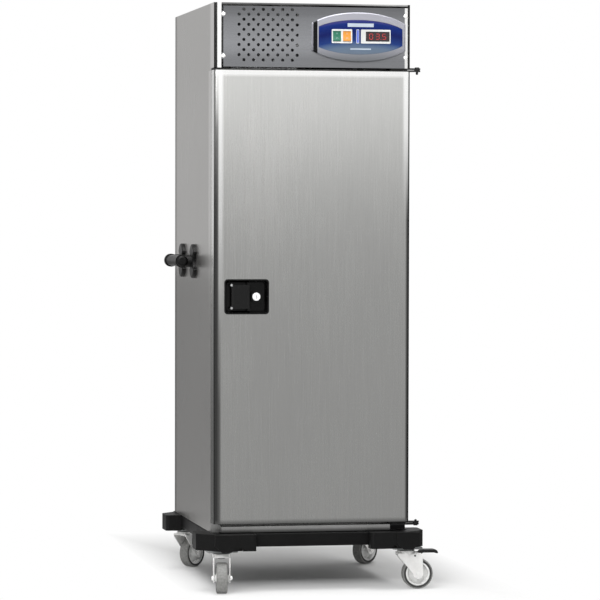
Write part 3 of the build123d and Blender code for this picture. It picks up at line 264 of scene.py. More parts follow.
def plated(name, tone, tint, rough, metal=1.0):
    """Zinc or chrome plate: faint patches and light scuffs."""
    look = Look(name, Metallic=metal)
    patch = look.noise((26, 26, 26), 4.0, 0.6)
    grain = look.noise((420, 420, 420), 3.0, 0.6, (4, 4, 4))
    spangle = look.cells((95, 95, 95))
    colour = look.mix(look.span(patch, 0.35, 0.65, 0.0, 0.8), tone, tint)
    colour = look.mix(look.span(spangle, 0.2, 0.9, 0.0, 0.18), colour, [c * 0.72 for c in tone])
    look.set("Base Color", colour)
    scuffed = look.span(patch, 0.3, 0.7, rough - 0.04, rough + 0.1)
    look.set("Roughness", look.math("ADD", scuffed, look.span(grain, 0.3, 0.7, -0.03, 0.05)))
    look.bump(grain, 0.08, 0.0004)
    return look.material


def grained(look, grain, depth):
    """Fine skin as a bump. Gives that skin, slow patches and small specks."""
    skin = look.noise((grain, grain, grain), 3.0, 0.6)
    patch = look.noise((9, 9, 9), 4.0, 0.6, (2, 5, 8))
    speck = look.noise((160, 160, 160), 3.0, 0.7, (8, 3, 6))
    look.bump(look.math("ADD", skin, look.math("MULTIPLY", speck, 0.4)), depth, 0.0005)
    return skin, patch, speck


def rubbed_edges(look, speck, wear):
    """How far each place is rubbed pale: the sharp edges, broken up by the specks."""
    return look.math("MULTIPLY", look.edges(0.0012), look.span(speck, 0.4, 0.62, 0.0, wear))


def moulded(name, tone, worn, rough, grain=900.0, wear=0.5, depth=0.12, field=None, **fixed):
    """Plastic, rubber or paint with a fine skin and paler rubbed edges.

    A field is a second tone and the bounds that it fills.
    """
    look = Look(name, **fixed)
    skin, patch, speck = grained(look, grain, depth)
    dark, light = [c * 0.86 for c in tone], [min(1.0, c * 1.12) for c in tone]
    colour = look.mix(look.span(patch, 0.3, 0.7, 0.0, 1.0), dark, light)
    if field:
        second, bounds = field
        colour = look.mix(look.within(*bounds), colour, second)
    look.set("Base Color", look.mix(rubbed_edges(look, speck, wear), colour, worn))
    matt = look.span(patch, 0.3, 0.7, rough - 0.05, rough + 0.07)
    look.set("Roughness", look.math("ADD", matt, look.span(skin, 0.3, 0.7, -0.04, 0.04)))
    return look.material


def tyre_rubber(name):
    """Dark side walls and a tread painted paler grey, a painted light that stands for the light on the
    tread.
    """
    low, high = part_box(name)
    middle = (low + high) / 2
    radius = (high.z - low.z) / 2
    look = Look(name + "_rubber")
    _, patch, speck = grained(look, 300, 0.25)
    away = look.add("ShaderNodeVectorMath", operation="DISTANCE")
    look.feed(away.inputs[0], look.place)
    look.feed(away.inputs[1], middle)
    tread = look.span(away.outputs["Value"], radius - 0.0016, radius - 0.0004, 0.0, 1.0)
    wall = look.mix(look.span(patch, 0.3, 0.7, 0.0, 1.0), (0.022, 0.022, 0.022), (0.034, 0.034, 0.033))
    wall = look.mix(rubbed_edges(look, speck, 0.8), wall, (0.16, 0.16, 0.155))
    # Painted light: the tread is paler grey than the walls
    worn = look.mix(look.span(speck, 0.35, 0.65, 0.0, 1.0), (0.17, 0.17, 0.165), (0.26, 0.26, 0.25))
    look.set("Base Color", look.mix(tread, wall, worn))
    look.set("Roughness", look.span(patch, 0.3, 0.7, 0.55, 0.7))
    return look.material


def ribbed(name, tone, rough, axis, pitch):
    """Thin metal fins that are folded close together, with painted shade in the gaps between them."""
    look = Look(name, Metallic=1.0)
    wave = look.math("SINE", look.math("MULTIPLY", look.axis(axis), 2 * math.pi / pitch))
    dust = look.noise((55, 55, 55), 4.0, 0.65)
    # Painted shade: the colour darkens once each pitch, towards the gaps between the fins
    colour = look.mix(look.span(wave, -1.0, 1.0, 0.0, 0.5), tone, [c * 0.55 for c in tone])
    look.set("Base Color", look.mix(look.span(dust, 0.45, 0.7, 0.0, 0.4), colour, (0.35, 0.33, 0.3)))
    look.set("Roughness", look.span(dust, 0.3, 0.7, rough, rough + 0.25))
    look.bump(wave, 0.5, 0.0008)
    return look.material


def cellular(name, tone, dark):
    """Rigid foam with cut cells."""
    look = Look(name)
    cell = look.cells((260, 260, 260))
    patch = look.noise((14, 14, 14), 4.0, 0.6)
    colour = look.mix(look.span(patch, 0.35, 0.65, 0.0, 1.0), tone, dark)
    # Painted shade in the hollows of the cut cells
    look.set("Base Color", look.mix(look.span(cell, 0.0, 0.7, 0.35, 0.0), colour, dark))
    look.set("Roughness", look.span(patch, 0.3, 0.7, 0.8, 0.95))
    look.bump(cell, 0.6, 0.0012)
    return look.material


def printed_label(name, node):
    """Printed film under a gloss coat: deep blue above, grey-blue below, in one soft sweep."""
    low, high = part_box(node)
    look = Look(name, Coat_Weight=0.02, Coat_Roughness=0.12, Specular_IOR_Level=0.05)
    height = look.span(look.axis("Z"), low.z, high.z, 0.0, 1.0)
    sweep = look.span(look.axis("X"), low.x, high.x, -1.0, 1.0)
    bowed = look.math("ADD", height, look.math("MULTIPLY", look.math("MULTIPLY", sweep, sweep), 0.16))
    grain = look.noise((700, 700, 700), 2.0, 0.5)
    colour = look.ramp(
        bowed,
        (0.0, (0.11, 0.14, 0.18)),
        (0.20, (0.10, 0.14, 0.20)),
        (0.33, (0.05, 0.085, 0.18)),
        (0.41, (0.010, 0.030, 0.14)),
        (0.66, (0.002, 0.006, 0.075)),
        (0.90, (0.003, 0.016, 0.13)),
        (1.0, (0.05, 0.05, 0.18)),
    )
    look.set("Base Color", look.mix(look.span(grain, 0.3, 0.7, 0.0, 0.05), colour, (0.2, 0.24, 0.34)))
    look.set("Roughness", look.span(grain, 0.3, 0.7, 0.3, 0.38))
    look.bump(grain, 0.03, 0.0003)
    return look.material


def glowing(name, tone, strength, rough=0.3):
    """Lit plastic, a little brighter in the middle of its grain."""
    look = Look(name, Emission_Strength=strength)
    grain = look.noise((380, 380, 380), 2.0, 0.5)
    colour = look.mix(look.span(grain, 0.3, 0.7, 0.0, 1.0), [c * 0.85 for c in tone], tone)
    look.set("Base Color", colour)
    look.set("Emission Color", colour)
    look.set("Roughness", look.span(grain, 0.3, 0.7, rough - 0.04, rough + 0.04))
    look.bump(grain, 0.05, 0.0003)
    return look.material


# Where a part of a solid has a finish of its own

far_off = 9.0  # past every edge of the part
face_depth = 0.0006  # how deep the paint of a face reaches
bezel_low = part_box("control_bezel")[0]
module_low, module_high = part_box("display_module")
cavity_low, cavity_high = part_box("inner_liner")
hood_low, hood_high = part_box("fascia_panel")
skin_low, skin_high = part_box("door_skin")
gutter_low, gutter_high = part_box("drip_gutter")
cabinet_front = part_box("front_frame")[0].y
cabinet_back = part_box("side_panel_left")[1].y
left, right = skin_low.x, skin_high.x
front, top = skin_low.y, skin_high.z

grip_left = bezel_low.x + 0.004
grip_bounds = [("X", grip_left, grip_left + 0.014), ("Y", -far_off, bezel_low.y + 0.0029)]
window_bounds = [
    ("X", module_high.x - 0.082, module_high.x - 0.003),
    ("Y", module_low.y + 0.0012, far_off),
]
mouth = 0.020
mouth_bounds = [
    ("X", cavity_low.x - mouth, cavity_high.x + mouth),
    ("Z", cavity_low.z - mouth, cavity_high.z + mouth),
]


def off(axis, edge, *stops):
    """Soft stops, each at a distance from an edge of the part."""
    return (axis, *((edge + away, share) for away, share in stops))


# Patches of the sheets: a tone, its share of metal and its bounds. Behind the fascia's face and above the
# door the near-black tone is painted shade; round the cavity's mouth it is a near-black ring.
shade = [0.012] * 3
shade_behind_fascia = (shade, 0.0, [("Y", hood_low.y + 0.0025, far_off)])
shade_above_door = (shade, 0.0, [("Z", top - 0.004, far_off)])
round_mouth = (shade, 0.0, mouth_bounds)

# Painted reflections and painted shade in the base colour, as dark and light lines along the sheets'
# edges: black and ink are their near-black tones, not print, gloom is a dark grey and glint a painted
# highlight
black, ink = [0.0] * 3, [0.03] * 3
gloom = (0.10, 0.10, 0.098)
glint = (0.98, 0.98, 0.97)
door_face = ("Y", -far_off, front + face_depth)
left_side = ("X", -far_off, left + face_depth)
below_hood = ("Z", 0.0, top)
in_hood = ("Z", top + 0.007, far_off)
upper_light = ("Z", (0.85, 0.0), (1.2, 1.0))
# Painted reflections and painted shade on the door: dark strips and painted highlights along its left and
# right edges, a painted highlight along its top, a darker band along its bottom, and a painted highlight
# above and painted shade below on its left side face
door_painted_lines = [
    ((0.12, 0.12, 0.118), 1.0, [
        door_face, ("Z", (0.6, 0.8), (1.0, 0.0)),
        off("X", left, (0.01, 0.0), (0.014, 1.0), (0.019, 1.0), (0.026, 0.0)),
    ]),
    (gloom, 1.0, [
        door_face, ("Z", (1.25, 1.0), (1.45, 0.8), (1.7, 0.0)),
        off("X", left, (0.0, 1.0), (0.0115, 1.0), (0.018, 0.0)),
    ]),
    (gloom, 1.0, [
        door_face, ("Z", (1.25, 1.0), (1.5, 0.1)),
        off("X", right, (-0.015, 0.0), (-0.009, 1.0), (0.0, 1.0)),
    ]),
    (glint, 1.0, [
        door_face, upper_light,
        off("X", left, (0.013, 0.0), (0.018, 1.0), (0.025, 1.0), (0.034, 0.0)),
    ]),
    (glint, 1.0, [
        door_face, ("Z", (1.5, 0.0), (1.72, 1.0)),
        off("X", left, (0.002, 0.0), (0.007, 1.0), (0.015, 1.0), (0.024, 0.0)),
    ]),
    (glint, 1.0, [
        door_face, ("Z", (1.2, 0.0), (1.5, 1.0)),
        off("X", right, (-0.026, 0.0), (-0.018, 1.0), (-0.008, 1.0), (-0.003, 0.0)),
    ]),
    (glint, 1.0, [door_face, off("Z", top, (-0.022, 0.0), (-0.013, 0.8), (0.0, 0.8))]),
    (ink, 1.0, [below_hood, ("X", right - 0.0045, far_off), ("Y", -far_off, front + 0.008)]),
    ((0.22, 0.22, 0.215), 1.0, [
        door_face, off("Z", skin_low.z, (0.0, 0.9), (0.003, 0.8), (0.015, 0.0)),
    ]),
    (glint, 1.0, [left_side, ("Z", (0.93, 0.0), (1.2, 1.0))]),
    ((0.16, 0.16, 0.155), 1.0, [left_side, ("Z", (0.5, 1.0), (1.0, 0.0))]),
]
# Painted reflections on the left side sheet: a dark line along its back edge, and painted highlights near
# its front edge below the hood and on the hood's cheek
side_painted_lines = [
    ((0.26, 0.256, 0.25), 1.0, [
        left_side, off("Y", cabinet_back, (-0.045, 0.0), (-0.03, 1.0), (0.0, 1.0)),
    ]),
    ((0.70, 0.69, 0.68), 1.0, [
        left_side, below_hood, upper_light, off("Y", cabinet_front, (0.0, 1.0), (0.03, 1.0), (0.06, 0.0)),
    ]),
    ((0.74, 0.73, 0.72), 1.0, [
        left_side, in_hood, off("Y", front, (0.0, 1.0), (0.05, 1.0), (0.09, 0.0)),
    ]),
]
# Painted highlight on the face of the left post beside the hood, with a painted dark line along its outer
# edge
left_post = [
    ((0.93, 0.93, 0.92), 1.0, [door_face, in_hood]),
    (ink, 1.0, [door_face, in_hood, ("X", left - 0.01, left + 0.0108)]),
]
# Painted dark reflection over the face of the right post
right_post = [(ink, 1.0, [door_face, in_hood])]
# Painted shade on the fascia: darker towards its top and its bottom
hood_shade = (black, 1.0, [off(
    "Z", hood_high.z,
    (-0.19, 0.25), (-0.167, 0.25), (-0.145, 0.08), (-0.12, 0.0),
    (-0.066, 0.17), (-0.038, 0.28), (-0.025, 0.40), (0.0, 0.5),
)])
# Painted highlight along the right end of the fascia's face
hood_end_glint = ((0.85, 0.85, 0.84), 1.0, [
    ("Y", -far_off, hood_low.y + face_depth), off("X", hood_high.x, (-0.0105, 0.0), (-0.0085, 1.0)),
])
# Painted dark reflection along the front lip of the lid, weaker towards its right end
lid_lip_shade = ([0.16] * 3, 1.0, [("Y", -far_off, front + 0.003), ("X", (0.05, 1.0), (0.25, 0.45))])
# Painted shade on the drip gutter, darkest along its lower edge
gutter_shade = (black, 1.0, [
    off("Z", gutter_low.z, (0.0, 0.85), (0.006, 0.6), (0.012, 0.12), (gutter_high.z - gutter_low.z, 0.0)),
])

steel = (0.635, 0.635, 0.62)
# Share of painted dark reflection on the door's bends, by height
door_bend_shade = ((1.25, 0.9), (1.55, 0.55))
side_steel = {
    "tone": (0.515, 0.506, 0.493), "rough": 0.3, "along": "z", "smear": 0.015,
    # share of painted dark reflection on the side sheets' bends, by height
    "bend": ((0.0, 0.97), (3.0, 0.97)),
}
tyres = ("tyre_fl", "tyre_fr", "tyre_rl", "tyre_rr")
finishes = {
    "door": brushed("steel_door", steel, 0.26, "z", smear=0.02, bend=door_bend_shade, patches=door_painted_lines),
    "side": brushed("steel_side", patches=side_painted_lines + left_post, **side_steel),
    "side_right": brushed("steel_side_right", patches=right_post, **side_steel),
    "back": brushed("steel_back", (0.60, 0.60, 0.59), 0.33, "z", smear=0.06),
    "lid": brushed("steel_lid", (0.60, 0.60, 0.59), 0.33, "y", smear=0.06, patches=[lid_lip_shade]),
    "hood": brushed(
        "steel_hood", (0.295, 0.30, 0.315), 0.3, "x", smear=0.04,
        patches=[hood_shade, hood_end_glint, shade_behind_fascia],
    ),
    "gutter": brushed("steel_gutter", (0.6, 0.6, 0.59), 0.26, "x", smear=0.05, patches=[gutter_shade]),
    "frame": brushed(
        "steel_frame", (0.62, 0.62, 0.61), 0.3, "z", smear=0.04, patches=[round_mouth, shade_above_door]
    ),
    "liner": brushed("steel_liner", (0.66, 0.67, 0.67), 0.36, "y", fine=420.0, depth=0.03),
    "rack": brushed("steel_rack", [0.68] * 3, 0.24, "y", fine=500.0, depth=0.03),
    "zinc": plated("zinc_plate", (0.93, 0.93, 0.92), (0.86, 0.85, 0.83), 0.3, metal=0.25),
    "lock": plated("lock_chrome", [0.95] * 3, [0.9] * 3, 0.25, metal=0.15),
    "zinc_dull": plated("zinc_dull", (0.40, 0.41, 0.41), (0.30, 0.31, 0.31), 0.42),
    "chrome": plated("chrome_plate", [0.9] * 3, (0.82, 0.83, 0.84), 0.14),
    "chassis": moulded(
        "chassis_paint", [0.004] * 3, [0.04] * 3, 0.5, grain=520.0, wear=0.4, Specular_IOR_Level=0.15,
    ),
    "bumper": moulded(
        "bumper_cast", [0.004] * 3, (0.08, 0.08, 0.075), 0.55, grain=420.0, wear=0.6, depth=0.2,
        Specular_IOR_Level=0.18,
    ),
    "black": moulded("black_plastic_skin", [0.008] * 3, [0.06] * 3, 0.3, wear=0.35),
    "dish": moulded(
        "dish_plastic", [0.003] * 3, [0.05] * 3, 0.16, wear=0.3, depth=0.04, Specular_IOR_Level=0.3,
    ),
    "paddle": moulded(
        "paddle_skin", [0.006] * 3, [0.09] * 3, 0.22, wear=0.5, depth=0.05, Specular_IOR_Level=0.35,
    ),
    "handle": moulded(
        "handle_rubber", [0.003] * 3, [0.05] * 3, 0.36, wear=0.5, depth=0.15, Specular_IOR_Level=0.22,
    ),
    "arm": moulded(
        "hinge_paint", [0.006] * 3, [0.12] * 3, 0.34, grain=520.0, wear=0.6, Specular_IOR_Level=0.35,
    ),
    "bezel": shaded_bezel(
        "bezel_paint", "control_bezel", (0.34, 0.34, 0.38), (0.105, 0.113, 0.118),
        (0.004, 0.004, 0.005), grip_bounds,
    ),
    "white": moulded("white_plastic_skin", (0.70, 0.71, 0.70), [0.9] * 3, 0.34, wear=0.2, depth=0.05),
    "display": moulded(
        "display_frame", (0.60, 0.61, 0.60), [0.8] * 3, 0.26, wear=0.15, depth=0.03,
        field=((0.012, 0.004, 0.005), window_bounds), Coat_Weight=0.4,
    ),
    "green": glowing("rocker_green_lit", (0.012, 0.13, 0.075), 0.1),
    "orange": glowing("rocker_orange_lit", (0.60, 0.24, 0.03), 0.12),
    "digit": glowing("digit_red", (0.40, 0.02, 0.02), 0.3),
    "digit_dim": glowing("digit_dark", (0.045, 0.004, 0.004), 0.0),
    "lamp": glowing("pilot_lamp", (0.10, 0.15, 0.55), 0.15),
    "foam": cellular("foam_cut", (0.74, 0.66, 0.42), (0.55, 0.46, 0.26)),
    "gasket": moulded("gasket_skin", [0.022] * 3, [0.07] * 3, 0.55, wear=0.2, depth=0.08),
    "fins": ribbed("coil_fins", (0.75, 0.76, 0.77), 0.3, "X", 0.0024),
    "compressor": moulded(
        "compressor_paint", (0.014, 0.014, 0.015), [0.2] * 3, 0.34, grain=260.0, wear=0.6
    ),
    "fan": moulded("fan_plastic", (0.02, 0.02, 0.022), [0.08] * 3, 0.45, wear=0.2),
    "hub": moulded("hub_plastic_skin", (0.74, 0.74, 0.73), [0.85] * 3, 0.34, wear=0.4, depth=0.08),
    "label": printed_label("label_film", "control_label"),
    "ink": moulded("label_ink", (0.42, 0.48, 0.55), (0.6, 0.62, 0.68), 0.32, wear=0.1, depth=0.03),
    **{name: tyre_rubber(name) for name in tyres},
}
worn_by = {
    "door": ["door_skin"],
    "side": ["side_panel_left"],
    "side_right": ["side_panel_right"],
    "back": ["back_panel"],
    "lid": ["top_cover"],
    "hood": ["fascia_panel"],
    "gutter": ["drip_gutter"],
    "liner": ["inner_liner", "door_liner", "evaporator_cover", "evaporator_motor"],
    "rack": ["tray_rack_left", "tray_rack_right"],
    "zinc": ["fork_fl", "fork_fr", "fork_rl", "fork_rr", "panel_screws", "latch_bolt", "latch_strike"],
    "zinc_dull": ["base_pan", "machine_deck", "castor_plates", "fan_shroud"],
    "lock": ["lock_cylinder"],
    "chassis": ["chassis_frame"],
    "bumper": ["corner_bumpers"],
    "black": ["brake_pedal_fr", "brake_pedal_rr", "power_inlet"],
    "dish": ["latch_dish"],
    "paddle": ["latch_paddle"],
    "handle": ["handle_bar", "handle_brackets"],
    "arm": ["hinge_arms", "hinge_bracket_lower", "hinge_bracket_upper"],
    "bezel": ["control_bezel"],
    "white": ["switch_frame"],
    "green": ["rocker_green"],
    "orange": ["rocker_orange"],
    "display": ["display_module"],
    "foam": ["cabinet_foam", "door_foam"],
    "frame": ["front_frame"],
    "gasket": ["door_gasket"],
    "fins": ["condenser_coil", "evaporator_coil"],
    "compressor": ["compressor"],
    "fan": ["condenser_fan", "evaporator_fan"],
    "hub": ["wheel_hub_fl", "wheel_hub_fr", "wheel_hub_rl", "wheel_hub_rr"],
    "label": ["control_label"],
    **{name: [name] for name in tyres},
}


def dress(thing, finish):
    if thing.material_slots:
        for entry in thing.material_slots:
            entry.material = finishes[finish]
    else:
        thing.data.materials.append(finishes[finish])


for finish, names in worn_by.items():
    for name in names:
        dress(nodes[name], finish)


# Pieces that the solids leave to this script: fasteners, digits and print.


def piece(name, mesh, finish, body):
    """An object of this script alone, in its finish, that rides on a body."""
    thing = bpy.data.objects.new(name, mesh)
    bpy.context.scene.collection.objects.link(thing)
    dress(thing, finish)
    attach(thing, body)
    return thing


def solid(name, rings, round_trip=False):
    """A closed mesh through rings of as many points each.

    The first and last ring are capped, or joined to each other by a round trip.
    """
    mesh = bpy.data.meshes.new(name)
    work = bmesh.new()
    loops = [[work.verts.new(point) for point in ring] for ring in rings]
    count = len(loops[0])
    for low, high in zip(loops, loops[1:] + loops[:1] if round_trip else loops[1:]):
        for i in range(count):
            j = (i + 1) % count
            work.faces.new((low[i], low[j], high[j], high[i]))
    if not round_trip:
        work.faces.new(loops[0][::-1])
        work.faces.new(loops[-1])
    bmesh.ops.recalc_face_normals(work, faces=work.faces)
    work.to_mesh(mesh)
    work.free()
    return mesh


def circle(x, y, radius, count):
    """Points round a circle, from +X."""
    turns = [2 * math.pi * i / count for i in range(count)]
    return [(x + radius * math.cos(turn), y + radius * math.sin(turn)) for turn in turns]


def rectangle(x, y, half_width, half_height):
    """Four corners, from the lower left."""
    return [
        (x - half_width, y - half_height), (x + half_width, y - half_height),
        (x + half_width, y + half_height), (x - half_width, y + half_height),
    ]


def front_plate(name, points, y, rise, edge):
    """A thin plate on a plane that faces -Y, with its front edge broken."""
    middle = Vector((sum(p[0] for p in points), sum(p[1] for p in points))) / len(points)
    rings = []
    for inset, depth in ((0.0, 0.0), (0.0, rise - edge), (edge, rise)):
        ring = []
        for x, z in points:
            away = Vector((x, z)) - middle
            pull = away.length and (away.length - inset) / away.length
            ring.append((middle.x + away.x * pull, y - depth, middle.y + away.y * pull))
        rings.append(ring)
    return solid(name, rings)


def joined(name, parts):
    """One mesh from several, which are removed."""
    mesh = bpy.data.meshes.new(name)
    work = bmesh.new()
    for part in parts:
        work.from_mesh(part)
        bpy.data.meshes.remove(part)
    work.to_mesh(mesh)
    work.free()
    return mesh


def aimed(name, rings, place, direction):
    """Rings about the Z axis as a solid that stands at a place and points in a direction."""
    aim = Vector(direction).to_track_quat("Z", "Y").to_matrix().to_4x4()
    aim.translation = Vector(place)
    return solid(name, [[aim @ p for p in ring] for ring in rings])


def screw_head(name, place, direction, radius, height, turn=0.0):
    """Pan head with a cross recess, as rings that sink in the middle."""
    count = 32
    recess = 0.56  # share of the radius inside which the cross starts
    profile = ((1.0, 0.0), (1.0, 0.35), (0.9, 0.75), (0.66, 0.97), (recess, 1.0), (0.5, 0.62), (0.16, 0.5))
    rings = []
    for reach, rise in profile:
        ring = []
        for i in range(count):
            angle = 2 * math.pi * i / count
            r = radius * reach
            if reach < recess:
                arm = max(abs(math.cos(angle + turn)), abs(math.sin(angle + turn)))
                r = radius * reach * (1.0 if arm > 0.93 else 0.38)
            ring.append(Vector((r * math.cos(angle), r * math.sin(angle), height * rise)))
        rings.append(ring)
    return aimed(name, rings, place, direction)


def domed_rivet(name, place, direction, radius, height):
    """Flat dome of a blind rivet with the stem hole in its middle."""
    rings = [
        [Vector((x, y, height * rise)) for x, y in circle(0, 0, radius * reach, 24)]
        for reach, rise in ((1.0, 0.0), (0.94, 0.5), (0.72, 0.9), (0.42, 1.0), (0.34, 0.62), (0.05, 0.5))
    ]
    return aimed(name, rings, place, direction)


# Two screws that hold the latch dish
dish_low, dish_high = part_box("latch_dish")
screw_in = 0.0195  # from the dish's upper and lower edge
dish_screws = [
    screw_head("s", (dish_low.x + 0.0235, dish_low.y + 0.0002, z), (0, -1, 0), 0.0042, 0.0014, turn)
    for z, turn in ((dish_high.z - screw_in, 0.3), (dish_low.z + screw_in, 0.9))
]
piece("dish_screws", joined("dish_screws", dish_screws), "chrome", "door")

# Rivets down both rear flanges
panel_low, panel_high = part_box("side_panel_left")
panel_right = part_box("side_panel_right")[1].x
rivet_in = 0.011
rivet_count = 9
rivet_start, rivet_end = panel_low.z + 0.05, panel_high.z - 0.04
rivets = []
for x in (panel_low.x + rivet_in, panel_right - rivet_in):
    for i in range(rivet_count):
        z = rivet_start + i * (rivet_end - rivet_start) / (rivet_count - 1)
        rivets.append(domed_rivet("r", (x, panel_high.y, z), (0, 1, 0), 0.0034, 0.0012))
piece("rear_rivets", joined("rear_rivets", rivets), "zinc_dull", "cabinet")

# Digits of the display: seven bars each, some of them lit
window_y = module_low.y + 0.0015
window_x = module_high.x - 0.0425
window_z = (module_low.z + module_high.z) / 2
digit_pitch, digit_w, digit_h = 0.0215, 0.0105, 0.0172
bar_w, bar_gap = 0.0019, 0.0005
lit_rise, dim_rise = 0.0003, 0.0002
bar_edge = 0.0001
bars = {
    "a": (0, 1, 1, 1), "b": (1, 0.5, 1, 1), "c": (1, 0, 1, 0.5), "d": (0, 0, 1, 0),
    "e": (0, 0, 0, 0.5), "f": (0, 0.5, 0, 1), "g": (0, 0.5, 1, 0.5),
}
lit_bars = {"0": "abcdef", "3": "abcdg", "5": "acdfg"}


def bar_plate(x, z, bar, rise):
    """One pointed bar of the digit that is centred on a place."""
    x0, z0, x1, z1 = bars[bar]
    start = Vector((x + (x0 - 0.5) * digit_w, z + (z0 - 0.5) * digit_h))
    end = Vector((x + (x1 - 0.5) * digit_w, z + (z1 - 0.5) * digit_h))
    along = (end - start).normalized()
    side = Vector((-along.y, along.x)) * bar_w / 2
    start, end = start + along * bar_gap, end - along * bar_gap
    near, far = start + along * bar_w / 2, end - along * bar_w / 2
    points = [start, near - side, far - side, end, far + side, near + side]
    return front_plate("b", [(p.x, p.y) for p in points], window_y, rise, bar_edge)


lit, dim = [], []
for place, number in ((-1, "0"), (0, "3"), (1, "5")):
    for bar in bars:
        parts, rise = (lit, lit_rise) if bar in lit_bars[number] else (dim, dim_rise)
        parts.append(bar_plate(window_x + place * digit_pitch, window_z, bar, rise))
dot = circle(window_x + digit_pitch / 2, window_z - digit_h / 2, 0.0011, 12)
lit.append(front_plate("b", dot, window_y, lit_rise, bar_edge))
piece("display_digits_lit", joined("display_digits_lit", lit), "digit", "cabinet")
piece("display_digits_dim", joined("display_digits_dim", dim), "digit_dim", "cabinet")

# Lens of the pilot lamp beside the display
lens_plan = rectangle(module_low.x + 0.0045, window_z, 0.0034, 0.0205)
pilot_lens = front_plate("pilot_lens", lens_plan, module_low.y + 0.0007, 0.0006, 0.0003)
piece("pilot_lens", pilot_lens, "lamp", "cabinet")

# A bare pale plate and a thin line under it on the label
label_low, label_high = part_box("control_label")
label_x = (label_low.x + label_high.x) / 2
plates = []
for half_width, half_height, z in (
    (0.043, 0.00575, label_high.z - 0.01675),
    (0.034, 0.002, label_low.z + 0.0175),
):
    plan = rectangle(label_x, z, half_width, half_height)
    plates.append(front_plate("p", plan, label_low.y, 0.0002, 0.00005))
piece("label_print", joined("label_print", plates), "ink", "cabinet")


def rocker_marks(name, node, finish):
    """A bar and a ring, laid on the upper and lower face of a rocker."""
    low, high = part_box(node)
    pivot = Vector(((low.x + high.x) / 2, label_low.y + 0.003, window_z))
    tilted = Matrix.Translation(pivot) @ Matrix.Rotation(math.radians(-9), 4, "X")
    lean = math.atan2(0.002, 0.016)  # of each half face, from the rocker's hollow middle
    parts = []
    for half, mark in ((1, "bar"), (-1, "ring")):
        on_face = Matrix.Translation((0, -0.0056, half * 0.0088)) @ Matrix.Rotation(-half * lean, 4, "X")
        if mark == "bar":
            mesh = front_plate("m", rectangle(0, 0, 0.0008, 0.0032), 0, 0.00025, 0.00006)
        else:
            inner, outer, rise = 0.0024, 0.0033, 0.0002
            rings = [
                [(x, -depth, z) for x, z in circle(0, 0, radius, 28)]
                for radius, depth in ((inner, 0.0), (inner, rise), (outer, rise), (outer, 0.0))
            ]
            mesh = solid("m", rings, round_trip=True)
        mesh.transform(tilted @ on_face)
        parts.append(mesh)
    piece(name, joined(name, parts), finish, node)


rocker_marks("marks_green", "rocker_green", "ink")
rocker_marks("marks_orange", "rocker_orange", "ink")


# Stage: floor, world and lamps


def studio_floor():
    """Pale paper that shows the shadow near the part and fades to white farther out."""
    mesh = bpy.data.meshes.new("floor")
    work = bmesh.new()
    bmesh.ops.create_grid(work, x_segments=4, y_segments=4, size=18.0)
    work.to_mesh(mesh)
    work.free()
    floor = bpy.data.objects.new("floor", mesh)
    floor.location = (0, 0, -0.0002)
    bpy.context.scene.collection.objects.link(floor)
    look = Look("floor_paper")
    grain = look.noise((7, 7, 7), 3.0, 0.5)
    paper = look.mix(look.span(grain, 0.3, 0.7, 0.0, 1.0), (0.78, 0.78, 0.775), (0.8, 0.8, 0.795))
    look.set("Base Color", paper)
    look.set("Roughness", look.span(grain, 0.3, 0.7, 0.8, 0.9))
    # Seen straight, or in a mirror, the paper runs out into the white background.
    rays = look.add("ShaderNodeLightPath")
    mirrored = look.math("MAXIMUM", rays.outputs["Is Glossy Ray"], rays.outputs["Is Transmission Ray"])
    seen = look.math("MAXIMUM", rays.outputs["Is Camera Ray"], mirrored)
    (left_end, front_end, _), (right_end, back_end, _) = cad_box
    ends = [
        look.span(look.axis("X"), left_end + 0.14, left_end - 0.02, 0.0, 1.0),
        look.span(look.axis("X"), right_end + 0.03, right_end + 0.26, 0.0, 1.0),
        look.span(look.axis("Y"), front_end + 0.42, front_end - 0.42, 0.0, 1.0),
        look.span(look.axis("Y"), back_end + 0.45, back_end + 1.15, 0.0, 1.0),
    ]
    beyond = 0.0
    for end in ends:
        beyond = look.math("MAXIMUM", beyond, end)
    white = look.add("ShaderNodeEmission")
    look.feed(white.inputs["Strength"], 1.0)
    blend = look.add("ShaderNodeMixShader")
    look.feed(blend.inputs[0], look.math("MULTIPLY", beyond, seen))
    look.tree.links.new(look.shader.outputs["BSDF"], blend.inputs[1])
    look.tree.links.new(white.outputs["Emission"], blend.inputs[2])
    output = next(n for n in look.tree.nodes if n.type == "OUTPUT_MATERIAL")
    look.tree.links.new(blend.outputs["Shader"], output.inputs["Surface"])
    mesh.materials.append(look.material)


def card(name, corners, *greys):
    """A plain board that only steel and gloss mirror: one grey, or (height, grey) stops."""
    mesh = bpy.data.meshes.new(name)
    mesh.from_pydata(corners, [], [(0, 1, 2, 3)])
    board = bpy.data.objects.new(name, mesh)
    bpy.context.scene.collection.objects.link(board)
    look = Look(name + "_paper", Roughness=1.0, Emission_Strength=1.0, Specular_IOR_Level=0.0)
    grain = look.noise((5, 5, 5), 3.0, 0.5)
    look.set("Base Color", (0, 0, 0, 1))
    stops = greys if isinstance(greys[0], tuple) else ((0.0, greys[0]), (far_off, greys[0]))
    grey = look.profile("Z", *stops)
    look.set("Emission Color", look.mix(look.span(grain, 0.3, 0.7, 0.0, 0.06), grey, (0, 0, 0)))
    mesh.materials.append(look.material)
    board.visible_camera = False
    board.visible_diffuse = False
    board.visible_shadow = False
    board.visible_transmission = False
    board.visible_volume_scatter = False


def wall_card(name, x0, x1, y0, y1, z0, z1, *greys):
    """An upright card from (x0, y0) to (x1, y1), between two heights."""
    card(name, [(x0, y0, z0), (x1, y1, z0), (x1, y1, z1), (x0, y0, z1)], *greys)


